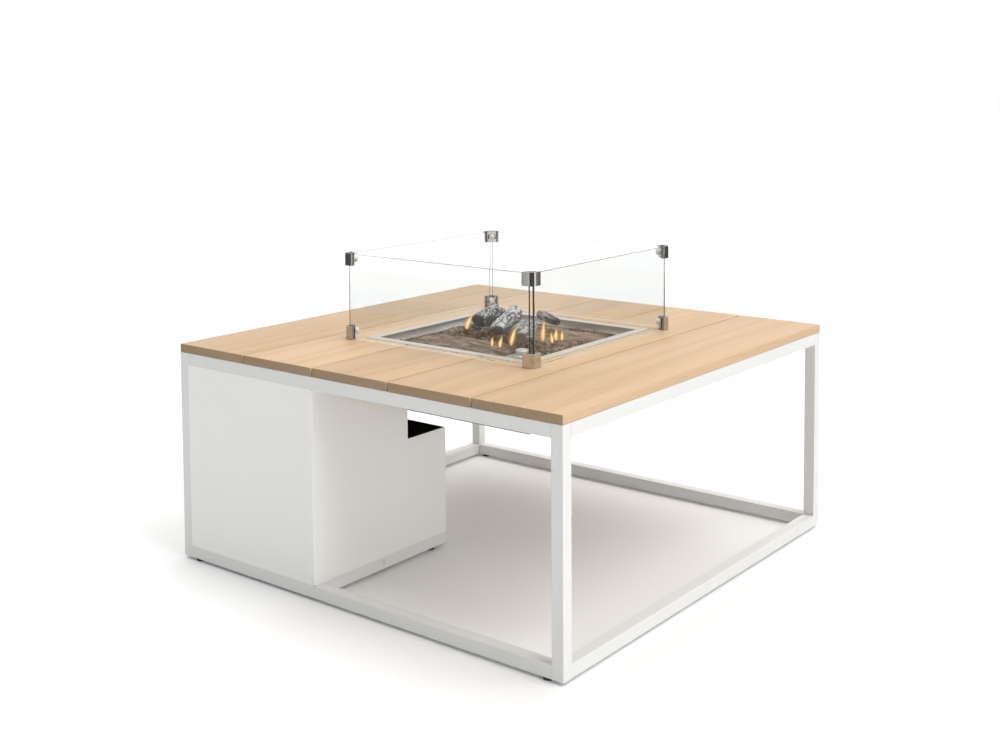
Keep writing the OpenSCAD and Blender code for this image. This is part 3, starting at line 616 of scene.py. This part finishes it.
def long_axis(points):
    """Middle, long direction and half length of a cloud of points."""
    middle = (points.max(0) + points.min(0)) / 2
    directions = np.linalg.svd(points - points.mean(0), full_matrices=False)[2]
    axis = directions[0] * (1 if directions[0][np.argmax(abs(directions[0]))] > 0 else -1)
    along = (points - middle) @ axis
    return middle, axis, (along.max() - along.min()) / 2


def streaks(p, seed, fine):
    """Bark relief at a point of the log: x along it, y and z across. 0 is a furrow, 1 a ridge."""
    warp = noise.noise(Vector((p.x * 11, p.y * 16, p.z * 16 + seed))) * 0.9
    q = Vector((p.x * fine * 0.11 + seed * 7.1, p.y * fine + warp, p.z * fine + warp))
    ridge = 1.0 - abs(noise.noise(q)) * 1.9
    small = 1.0 - abs(noise.noise(q * 2.7 + Vector((3.1, 0, 0)))) * 1.6
    broad = Vector((p.x * fine * 0.5 - seed, p.y * fine * 0.35, p.z * fine * 0.35))
    crack = min(1.0, abs(noise.noise(broad)) * 6)
    return max(0.0, min(1.0, (0.62 * ridge + 0.38 * small) * (0.55 + 0.45 * crack)))


def embers(p, seed, fine):
    """Relief of a burnt log: small cushions with cracks between, longer along the log."""
    q = Vector((p.x * fine * 0.55 + seed * 3.3, p.y * fine, p.z * fine + seed))
    q += Vector([noise.noise(q * 0.8 + Vector((9.3 * k, 0, 0))) for k in range(3)]) * 0.5
    near, second = noise.voronoi(q)[0][:2]
    crack = max(0.0, min(1.0, (second - near) * 2.6))
    crust = 0.5 + 0.5 * noise.noise(q * 3.4)
    return max(0.0, min(1.0, crack * (0.65 + 0.35 * crust)))


def bark_log(node, finish, seed, pattern, relief, fine, ash=0.5, char_end=0.0, step=0.0018):
    mesh = even_skin(node, step)
    count = len(mesh.vertices)
    points = np.empty(count * 3, np.float32)
    mesh.vertices.foreach_get("co", points)
    points = points.reshape(-1, 3)
    normals = np.array([v.normal for v in mesh.vertices])
    middle, axis, half = long_axis(points)
    side = np.cross((0, 0, 1), axis)
    side /= np.linalg.norm(side)
    up = np.cross(axis, side)
    depth, ashes, ends, chars = [], [], [], []
    moved = points.copy()
    for i in range(count):
        r = points[i] - middle
        local = Vector((float(r @ axis), float(r @ side), float(r @ up)))
        facing = abs(float(normals[i] @ axis))
        end = max(0.0, min(1.0, (facing - 0.62) / 0.2)) if abs(local.x) > half * 0.93 else 0.0
        ridge = pattern(local, seed, fine)
        rings = 0.5 + 0.5 * math.sin(1500 * math.hypot(local.y, local.z) + 6 * noise.noise(local * 60))
        lump = noise.noise(local * 24 + Vector((seed * 3, 0, 0)))
        push = (1 - end) * relief * ((ridge - 0.75) + 0.9 * (lump - 0.1)) - end * 0.0007 * rings
        moved[i] = points[i] + normals[i] * push
        dust = noise.fractal(local * 110 + Vector((0, 0, seed)), 0.8, 2.2, 4)
        facing_up = max(0.0, float(normals[i][2]))
        depth.append(1 - ridge if end < 0.5 else 0.4 + 0.4 * rings)
        ashes.append(max(0.0, min(1.0, ash * ridge * (0.25 + 0.75 * facing_up + 0.9 * dust))))
        ends.append(end)
        reach = abs(char_end)
        out = (local.x if char_end > 0 else -local.x) / half
        burnt = (out - (1 - reach)) / reach if reach else 0.0
        chars.append(max(0.0, min(1.0, 1.4 * burnt + 0.5 * dust)) if burnt > 0 else 0.0)
    mesh.vertices.foreach_set("co", moved.reshape(-1))
    mesh.update()
    mesh.polygons.foreach_set("use_smooth", [True] * len(mesh.polygons))
    for name, values in (("furrow", depth), ("ash", ashes), ("sawn", ends), ("char", chars)):
        paint_values(mesh, name, values)
    mesh.materials.clear()
    obj = piece_from_mesh(node + "_bark", mesh, "fire_bed", finish.material)
    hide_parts(node)
    return obj, count


# %% [markdown]
# The finish mixes four things by the stored numbers: bark ridges, dark furrows, pale ash and
# black char. A streaky noise along X and Y adds the fibres that are too fine for the mesh.

# %% Log finish
def bark(name, ridge, hollow, ash, sawn):
    wood = Finish(name)
    fine = wood.noise(420.0, 4.0, 0.65)
    broad = wood.noise(34.0, 3.0)
    tone = wood.ramp(broad, (0.3, tuple(c * 0.72 for c in ridge)), (0.7, tuple(c * 1.12 for c in ridge)))
    tone = wood.mix(wood.grey(wood.attribute("furrow"), 0.0, 1.0, 0.15, 0.75), tone, hollow)
    tone = wood.mix(wood.attribute("sawn"), tone, sawn)
    speck = wood.grey(fine, 0.0, 1.0, 0.42, 0.58)
    dusting = wood.sum(wood.attribute("ash"), wood.sum(speck, wood.attribute("ash"), "MULTIPLY"), "ADD")
    tone = wood.mix(wood.grey(dusting, 0.0, 1.0, 0.25, 1.25), tone, ash)
    tone = wood.mix(wood.attribute("char"), tone, (0.018, 0.016, 0.018))
    wood.colour(tone)
    wood.roughness(wood.grey(fine, 0.80, 0.95))
    wood.bump(fine, 0.0009, 0.7)
    return wood


brown_bark = bark("brown bark", ridge=(0.275, 0.208, 0.165), hollow=(0.080, 0.056, 0.043),
                  ash=(0.40, 0.34, 0.29), sawn=(0.24, 0.18, 0.13))
grey_bark = bark("grey bark", ridge=(0.300, 0.270, 0.245), hollow=(0.080, 0.070, 0.062),
                 ash=(0.56, 0.54, 0.51), sawn=(0.12, 0.105, 0.095))
ash_bark = bark("ash bark", ridge=(0.205, 0.196, 0.187), hollow=(0.058, 0.053, 0.050),
                ash=(0.74, 0.73, 0.71), sawn=(0.048, 0.044, 0.044))

logs = (  # node, finish, slot, seed, pattern, relief, fineness, ash, burnt end
    ("log_base_front", brown_bark, "log_bark", 1, streaks, 0.0042, 120.0, 0.30, 0.0),
    ("log_base_back", brown_bark, "log_bark", 2, streaks, 0.0042, 120.0, 0.30, 0.0),
    ("log_front", grey_bark, "log_bark", 3, streaks, 0.0032, 140.0, 0.65, 0.0),
    ("log_ash", ash_bark, "log_ash", 4, embers, 0.0030, 190.0, 0.85, -0.12),
    ("log_cross", ash_bark, "log_ash", 5, streaks, 0.0034, 170.0, 0.85, 0.0),
    ("log_charred", grey_bark, "log_ash", 6, streaks, 0.0026, 150.0, 0.55, 0.38),
)
for node, finish, slot, seed, pattern, relief, fine, ash, char_end in logs:
    made, count = bark_log(node, finish, seed, pattern, relief, fine, ash, char_end)
    print(made.name, count, "points")

# %% [markdown]
# ## Lava rubble
#
# Between the logs lies broken lava rock, in pieces from pea to walnut size. Each is an
# icosphere squeezed, dented by noise and turned at random, with a fixed seed so that the heap is
# the same each time. They are joined in one mesh, since nobody picks them up one by one here.

# %% Lava rubble
def rubble_places(rng):
    """Places for stones on the grate, dense and in two layers, clear of the control box."""
    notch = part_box("control_box")[0].x - 0.004
    low, high = -grate_half + 0.012, grate_half - 0.012
    spots = []
    pitch = 0.0165
    steps = int((high - low) / pitch)
    for layer in range(2):
        for i in range(steps + 1):
            for j in range(steps + 1):
                x = low + i * pitch + rng.uniform(-0.005, 0.005)
                y = low + j * pitch + rng.uniform(-0.005, 0.005)
                size = rng.uniform(0.0065, 0.0105)
                if x > notch - size and y < -notch + size:
                    continue
                if abs(x) > grate_half - size or abs(y) > grate_half - size:
                    continue
                edge = max(0.0, (max(abs(x), abs(y)) / grate_half - 0.62) / 0.38)
                spots.append((x, y, grate_z + size * 0.8 + layer * (0.008 + 0.010 * edge), size))
    return spots


def rubble():
    rng = random.Random(41)
    bm = bmesh.new()
    ball = bmesh.new()
    bmesh.ops.create_icosphere(ball, subdivisions=2, radius=1.0)
    shape = [v.co.copy() for v in ball.verts]
    faces = [[v.index for v in f.verts] for f in ball.faces]
    ball.free()
    tone = []
    spots = rubble_places(rng)
    for x, y, z, size in spots:
        angle = rng.uniform(0, math.tau)
        turn = Matrix.Rotation(angle, 3, Vector((rng.random(), rng.random(), rng.random() + 0.1)))
        squeeze = Vector((rng.uniform(0.8, 1.25), rng.uniform(0.75, 1.1), rng.uniform(0.6, 0.9)))
        offset = Vector((rng.random() * 50,) * 3)
        shade = rng.random()
        ring = []
        for s in shape:
            dent = 1 + 0.34 * noise.noise(s * 1.3 + offset) + 0.16 * noise.noise(s * 3.1 + offset)
            p = turn @ Vector((s.x * squeeze.x, s.y * squeeze.y, s.z * squeeze.z)) * size * dent
            ring.append(bm.verts.new((x + p.x, y + p.y, max(z + p.z, grate_z + 0.0003))))
            tone.append(shade)
        for f in faces:
            bm.faces.new([ring[k] for k in f])
    mesh = mesh_from_bm("lava_rubble", bm, smooth=False)
    paint_values(mesh, "tone", tone)
    rock = Finish("lava rock")
    pits = rock.noise(700.0, 4.0, 0.7)
    colour = rock.ramp(rock.attribute("tone"), (0.0, (0.085, 0.062, 0.048)), (0.5, (0.165, 0.123, 0.096)),
                       (1.0, (0.26, 0.205, 0.165)))
    hollows = rock.ramp(pits, (0.35, (0.55, 0.55, 0.55)), (0.65, (1.2, 1.2, 1.2)))
    rock.colour(rock.mix(1.0, colour, hollows, "MULTIPLY"))
    rock.roughness(rock.grey(pits, 0.75, 0.95))
    rock.bump(pits, 0.0012, 0.8)
    obj = piece_from_mesh("lava_rubble", mesh, "fire_bed", rock.material)
    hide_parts("lava_stones")
    return len(spots)


print(rubble(), "pieces of rubble")

# %% [markdown]
# ## Flames
#
# Gas flames are thin tongues of glowing gas. They have no surface, so a faithful one would be a
# volume, which takes long to render. Here each tongue is three shells inside each other, each a
# closed teardrop swept up a gently curved line: the outer one is faint orange, the inner one
# bright yellow. Because each shell hides a little, the edge comes out soft. The shells store how
# high a point is, and the finish turns that into colour and into how much can be seen through.

# %% Flame mesh
def tongue(bm, layer, foot, height, width, lean, sway, fatness):
    """One teardrop shell, as rings of points up a curved line; returns nothing, stores heights."""
    rings, sides = 18, 14
    rows = []
    for i in range(rings + 1):
        t = i / rings
        radius = width * fatness * math.sin(math.pi * min(1.0, t ** 0.62)) ** 0.8 * (1 - 0.25 * t)
        bend = sway * math.sin(2.2 * math.pi * t) * t
        middle = Vector(foot) + Vector((lean[0] * t * t + bend, lean[1] * t * t - bend * 0.5, height * t))
        row = []
        for j in range(sides):
            a = math.tau * j / sides
            swell = 1 + 0.12 * math.sin(2 * a + 5 * t)
            out = Vector((math.cos(a) * radius * swell, math.sin(a) * radius * 0.7, 0))
            row.append(bm.verts.new(middle + out))
            layer.append(t)
        rows.append(row)
    for i in range(rings):
        for j in range(sides):
            k = (j + 1) % sides
            bm.faces.new((rows[i][j], rows[i][k], rows[i + 1][k], rows[i + 1][j]))


def flame_finish(name, foot, body, tip, strength, solid):
    gas = Finish(name)
    height = gas.attribute("rise")
    glow = gas.ramp(height, (0.0, foot), (0.45, body), (1.0, tip))
    gas.set(Base_Color=(0, 0, 0, 1), Roughness=1.0, Emission_Strength=strength)
    gas.shader.inputs["Specular IOR Level"].default_value = 0.0
    gas.link(glow, gas.shader.inputs["Emission Color"])
    wisps = gas.noise(130.0, 2.0, source=gas.stretched(1.0, 1.0, 0.35))
    fade = gas.grey(height, 1.0, 0.0, 0.45, 1.0)
    rise = gas.grey(height, 0.25, 1.0, 0.0, 0.30)
    patchy = gas.grey(wisps, 0.55 * solid, solid, 0.35, 0.6)
    cover = gas.sum(gas.sum(fade, rise, "MULTIPLY"), patchy, "MULTIPLY")
    gas.link(cover, gas.shader.inputs["Alpha"])
    return gas


# %% [markdown]
# The tongues stand where the gas finds its way up between the logs, along the front half of the
# bed. Their places are shares of the grate's half width, so they belong to the bed; heights and
# widths are in metres.

# %% Flames
flame_layers = (  # name, share of the tongue's width, colours from foot to tip, strength, solidity
    ("outer", 1.0, (0.60, 0.24, 0.10), (0.80, 0.36, 0.10), (0.75, 0.26, 0.08), 0.7, 0.16),
    ("middle", 0.62, (0.85, 0.38, 0.12), (1.0, 0.58, 0.12), (0.95, 0.40, 0.08), 0.9, 0.34),
    ("core", 0.32, (1.0, 0.66, 0.25), (1.0, 0.86, 0.42), (1.0, 0.62, 0.20), 1.5, 0.85),
)
tongues = (  # place across and along the bed, foot above the grate, height, width, lean
    (0.340, -0.760, 0.040, 0.026, 0.0075, (0.003, 0.002)),
    (0.493, -0.800, 0.041, 0.034, 0.0085, (0.006, 0.001)),
    (0.580, -0.700, 0.044, 0.055, 0.0110, (0.015, 0.008)),
    (0.680, -0.245, 0.042, 0.060, 0.0115, (0.000, 0.003)),
    (0.795, -0.225, 0.040, 0.030, 0.0085, (-0.003, 0.002)),
    (0.770, -0.110, 0.042, 0.036, 0.0100, (0.000, 0.001)),
    (0.820, -0.060, 0.042, 0.028, 0.0080, (0.003, 0.001)),
    (-0.470, -0.240, 0.044, 0.046, 0.0130, (0.012, 0.012)),
)
for layer, fatness, *look in flame_layers:
    finish = flame_finish("flame, " + layer, *look)
    bm = bmesh.new()
    rise = []
    for i, (x, y, foot, height, width, lean) in enumerate(tongues):
        start = (x * grate_half, y * grate_half, grate_z + foot)
        tongue(bm, rise, start, height * (0.75 + 0.25 * fatness), width, lean, 0.0018 * (-1) ** i, fatness)
    mesh = mesh_from_bm("flame_" + layer, bm)
    paint_values(mesh, "rise", rise)
    piece_from_mesh("flame_" + layer, mesh, "fire_bed", finish.material)
print(len(tongues), "tongues of flame in", len(flame_layers), "shells")

# %% [markdown]
# ## Glass guard
#
# The panes are clear toughened glass with ground and polished edges. Seen square on, glass hides
# almost nothing; along an edge the light has travelled through a long stretch of glass and comes
# out dark green. So a pane gets two finishes: one for its big faces and a green one for its edge
# band. Lamps must shine through the panes too, and a Light Path node lets shadow rays pass,
# which saves the renderer the hopeless job of finding its way through refracting glass.

# %% Glass
def clear_glass(name, tint, through, clear=1.0):
    glass = Finish(name)
    glass.set(Roughness=0.0, IOR=1.45, Transmission_Weight=clear)
    smears = glass.noise(12.0, 3.0)
    glass.colour(glass.ramp(smears, (0.3, tint), (0.7, tuple(min(1.0, c * 1.01) for c in tint))))
    open_way = glass.node("BsdfTransparent")
    open_way.inputs["Color"].default_value = (*through, 1.0)
    path = glass.node("LightPath")
    switch = glass.node("MixShader")
    glass.link(path.outputs["Is Shadow Ray"], switch.inputs[0])
    glass.link(glass.shader.outputs[0], switch.inputs[1])
    glass.link(open_way.outputs[0], switch.inputs[2])
    glass.link(switch.outputs[0], glass.tree.nodes["Material Output"].inputs["Surface"])
    return glass


face_glass = clear_glass("pane glass", (0.925, 0.938, 0.932), (0.96, 0.97, 0.97))
edge_glass = clear_glass("polished glass edge", (0.075, 0.115, 0.095), (0.80, 0.88, 0.86), 0.25)


def pane(node):
    low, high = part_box(node)
    size = high - low
    bm = bmesh.new()
    bmesh.ops.create_cube(bm, size=1.0)
    bmesh.ops.scale(bm, vec=size, verts=bm.verts)
    bmesh.ops.translate(bm, vec=(low + high) / 2, verts=bm.verts)
    bmesh.ops.bevel(bm, geom=list(bm.edges), offset=0.0007, segments=2, affect="EDGES", profile=0.5)
    thin = 0 if size.x < size.y else 1
    for face in bm.faces:
        face.material_index = 0 if abs(face.normal[thin]) > 0.3 or face.normal.z < -0.3 else 1
    mesh = mesh_from_bm(node + "_glass", bm, smooth=False)
    obj = piece_from_mesh(node + "_glass", mesh, "guard", face_glass.material)
    mesh.materials.append(edge_glass.material)
    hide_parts(node)
    return size


for node in ("pane_front", "pane_right", "pane_back", "pane_left"):
    size = pane(node)
print("panes", [round(v / MM) for v in size], "mm")

# %% [markdown]
# ## Guard clips
#
# Each corner is held by two folded steel clips with a small plate inside, and a plastic cap nut.
# The CAD clips fold sharply, and a press brake leaves a round fold, which is where the bright
# lines on such a clip come from. So the sheets are made again: the folded line is drawn with an
# arc at each fold, given the sheet's thickness, and extruded. The nuts have a domed end.

# %% Guard clips
clip_steel = brushed_steel("clip steel", (0.62, 0.60, 0.58), 2, (0.10, 0.20), 1500.0)


def folded_line(points, radius, steps=6):
    """A flat line through the points with its corners rounded to the radius."""
    line = [Vector(points[0])]
    for before, corner, after in zip(points, points[1:], points[2:]):
        corner = Vector(corner)
        a, b = (Vector(before) - corner).normalized(), (Vector(after) - corner).normalized()
        half = a.angle(b) / 2
        middle = corner + (a + b).normalized() * radius / math.sin(half)
        first, last = corner + a * radius / math.tan(half), corner + b * radius / math.tan(half)
        for i in range(steps + 1):
            spoke = (first - middle).lerp(last - middle, i / steps)
            line.append(middle + spoke.normalized() * radius)
    line.append(Vector(points[-1]))
    return line


def folded_sheet(bm, outside, inside, low, high):
    """A strip of sheet between two lines, from one height to another."""
    rows = []
    for line, z in ((outside, low), (outside, high), (inside, high), (inside, low)):
        rows.append([bm.verts.new((p.x, p.y, z)) for p in line])
    for a, b in zip(rows, rows[1:] + rows[:1]):
        for k in range(len(a) - 1):
            bm.faces.new((a[k], a[k + 1], b[k + 1], b[k]))
    for k in (0, -1):
        bm.faces.new([row[k] for row in (rows if k else rows[::-1])])


def clip_measures():
    """Wing length and the heights of the lower and upper clips, read off the CAD mesh."""
    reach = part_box("guard_clips")[1].x
    points = [v.co for v in nodes["guard_clips"].data.vertices]
    levels = sorted({round(p.z, 5) for p in points if p.x > reach - 0.0001})
    wing_end = min(p.x for p in points if p.y < -reach + 0.0001 and p.x > 0)
    return reach - wing_end, ((levels[0], levels[1]), (levels[2], levels[3]))


def nut_places():
    """Near face and inward direction of each nut, found by splitting the CAD mesh into islands."""
    bm = bmesh.new()
    bm.from_mesh(nodes["guard_nuts"].data)
    bmesh.ops.remove_doubles(bm, verts=bm.verts, dist=0.00001)
    places, seen = [], set()
    for start in bm.verts:
        if start in seen:
            continue
        stack, island = [start], []
        seen.add(start)
        while stack:
            v = stack.pop()
            island.append(v.co.copy())
            for edge in v.link_edges:
                other = edge.other_vert(v)
                if other not in seen:
                    seen.add(other)
                    stack.append(other)
        middle = sum(island, Vector()) / len(island)
        inward = Vector((-middle.x, -middle.y, 0)).normalized()
        near = min(p.dot(inward) for p in island)
        places.append((middle + inward * (near - middle.dot(inward)), inward))
    bm.free()
    return places


def spun(bm, base, axis, profile, sides, grip=0.0):
    """A turned shape from (radius, distance along the axis) pairs, closed at both ends."""
    across = Vector((-axis.y, axis.x, 0))
    rows = []
    for radius, out in profile:
        row = []
        for k in range(sides):
            a = math.tau * k / sides
            r = radius * (1 - grip * (k % 2))
            sideways = across * math.cos(a) + Vector((0, 0, math.sin(a)))
            row.append(bm.verts.new(base + axis * out + sideways * r))
        rows.append(row)
    for a, b in zip(rows, rows[1:]):
        for k in range(sides):
            bm.faces.new((a[k], a[(k + 1) % sides], b[(k + 1) % sides], b[k]))
    bm.faces.new(rows[0][::-1])
    bm.faces.new(rows[-1])


def clip_piece(bm, name, node):
    bmesh.ops.recalc_face_normals(bm, faces=bm.faces)
    mesh = mesh_from_bm(name, bm)
    mesh.set_sharp_from_angle(angle=math.radians(35))
    obj = piece_from_mesh(name, mesh, "guard", clip_steel.material)
    soften(obj, 0.2 * MM, 2, 60)
    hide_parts(node)


def guard_clips():
    """Outer clips with their threaded studs, and inner plates, on the lines of the CAD ones."""
    glass_low, glass_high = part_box("pane_right")
    glass_face, glass_t = glass_high.x, glass_high.x - glass_low.x
    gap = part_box("guard_liners")[1].x - glass_face
    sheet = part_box("guard_clips")[1].x - glass_face - gap
    facet = glass_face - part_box("pane_front")[1].x - 0.0047
    plate_facet = 0.011 + glass_t
    wing, heights = clip_measures()
    wing -= sheet + gap
    bend = sheet * math.tan(math.radians(22.5))
    fold = 0.0030
    outer, plates = bmesh.new(), bmesh.new()
    for turn in range(4):
        a = turn * math.pi / 2
        to_x, to_y = Vector((-math.cos(a), -math.sin(a))), Vector((math.sin(a), -math.cos(a)))
        corner = -(to_x + to_y) * glass_face

        def line(offset, start, radius):
            ends = ((wing, offset), (start, offset), (offset, start), (offset, wing))
            return folded_line([corner + to_x * x + to_y * y for x, y in ends], radius)

        for low, high in heights:
            outside = line(-gap - sheet, facet - bend, fold + sheet)
            folded_sheet(outer, outside, line(-gap, facet, fold), low, high)
            folded_sheet(plates, line(glass_t, plate_facet, fold + sheet),
                         line(glass_t + sheet, plate_facet + bend, fold), low, high)
    for near, inward in nut_places():
        corner = Vector((-math.copysign(glass_face, inward.x), -math.copysign(glass_face, inward.y), near.z))
        start = corner + inward * ((facet - gap) / math.sqrt(2) - sheet / 2)
        length = (near - start).dot(inward) + 0.004
        turns = int(length / 0.0007)
        thread = [(0.0020 if i % 2 else 0.0017, length * i / (2 * turns)) for i in range(2 * turns + 1)]
        spun(outer, start, inward, thread, 16)
    clip_piece(outer, "guard_clip_sheets", "guard_clips")
    clip_piece(plates, "guard_plate_sheets", "guard_clip_plates")
    return sheet, wing


print("clip sheet and wing, mm:", [round(v / MM, 1) for v in guard_clips()])

# %% Cap nuts
def cap_nuts():
    bm = bmesh.new()
    radius = (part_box("guard_nuts")[1].z - max(near.z for near, inward in nut_places()))
    length = 0.011
    shares = ((0.94, 0.0), (1.0, 0.05), (1.0, 0.72), (0.95, 0.86), (0.80, 0.95), (0.55, 0.99), (0.25, 1.0))
    profile = [(radius * r, length * t) for r, t in shares]
    places = nut_places()
    for near, inward in places:
        spun(bm, near, inward, profile, 28, 0.05)
    bmesh.ops.recalc_face_normals(bm, faces=bm.faces)
    mesh = mesh_from_bm("guard_cap_nuts", bm)
    mesh.set_sharp_from_angle(angle=math.radians(40))
    white_nylon = moulded("white nylon", (0.80, 0.80, 0.79), 0.38)
    obj = piece_from_mesh("guard_cap_nuts", mesh, "guard", white_nylon.material)
    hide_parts("guard_nuts")
    return len(places)


print(cap_nuts(), "cap nuts")

# %% [markdown]
# ## Control knob
#
# The knob is turned aluminium: a skirt, a slightly narrower grip with fine flutes, and a dished
# top with a raised rim and a small round pointer. It is a profile spun round its axis, and the
# flutes are cut by letting the radius dip a little at every other step. The profile starts in a
# shallow recess underneath, which comes down over the valve's neck when the knob is pushed.

# %% Control knob
def control_knob():
    low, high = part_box("control_knob")
    middle = (low + high) / 2
    radius = (high.x - low.x) / 2
    height = high.z - low.z
    profile = (  # share of the radius, share of the height, flute depth
        (0.52, 0.17, 0), (0.52, 0.00, 0), (0.90, 0.00, 0), (0.985, 0.01, 0), (1.00, 0.05, 0),
        (1.00, 0.16, 0), (0.95, 0.22, 0), (0.90, 0.25, 0),
        (0.90, 0.30, 1), (0.89, 0.60, 1), (0.88, 0.86, 1), (0.86, 0.93, 0), (0.82, 0.98, 0), (0.77, 1.00, 0),
        (0.72, 1.00, 0), (0.68, 0.97, 0), (0.40, 0.93, 0), (0.10, 0.92, 0),
    )
    sides = 96
    bm = bmesh.new()
    rows = []
    for share, up, fluted in profile:
        row = []
        for k in range(sides):
            a = math.tau * k / sides
            dip = 0.035 * fluted * (0.5 - 0.5 * math.cos(24 * a))
            r = radius * (share - dip)
            place = (middle.x + r * math.cos(a), middle.y + r * math.sin(a), low.z + height * up)
            row.append(bm.verts.new(place))
        rows.append(row)
    for a, b in zip(rows, rows[1:]):
        for k in range(sides):
            bm.faces.new((a[k], a[(k + 1) % sides], b[(k + 1) % sides], b[k]))
    bm.faces.new(rows[0][::-1])
    bm.faces.new(rows[-1])
    bmesh.ops.recalc_face_normals(bm, faces=bm.faces)
    mesh = mesh_from_bm("knob_body", bm)
    mesh.set_sharp_from_angle(angle=math.radians(50))
    metal = turned_metal("anodised aluminium", (0.72, 0.72, 0.71), 0.30)
    obj = piece_from_mesh("knob_body", mesh, "knob", metal.material)
    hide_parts("control_knob")

    dot = bmesh.new()
    spot = Vector((middle.x + 0.52 * radius, middle.y, low.z + height * 0.945))
    rows = []
    for share, up in ((1.0, 0.0), (1.0, 0.0003), (0.85, 0.0006), (0.5, 0.0008)):
        rows.append([dot.verts.new(spot + Vector((0.0016 * share * math.cos(math.tau * k / 24),
                                                  0.0016 * share * math.sin(math.tau * k / 24), up)))
                     for k in range(24)])
    for a, b in zip(rows, rows[1:]):
        for k in range(24):
            dot.faces.new((a[k], a[(k + 1) % 24], b[(k + 1) % 24], b[k]))
    dot.faces.new(rows[-1])
    dot.faces.new(rows[0][::-1])
    dot_mesh = mesh_from_bm("knob_pointer", dot)
    enamel = moulded("red enamel", (0.45, 0.03, 0.02), 0.35)
    piece_from_mesh("knob_pointer", dot_mesh, "knob", enamel.material)
    return radius


print("knob", round(2 * control_knob() / MM), "mm across")
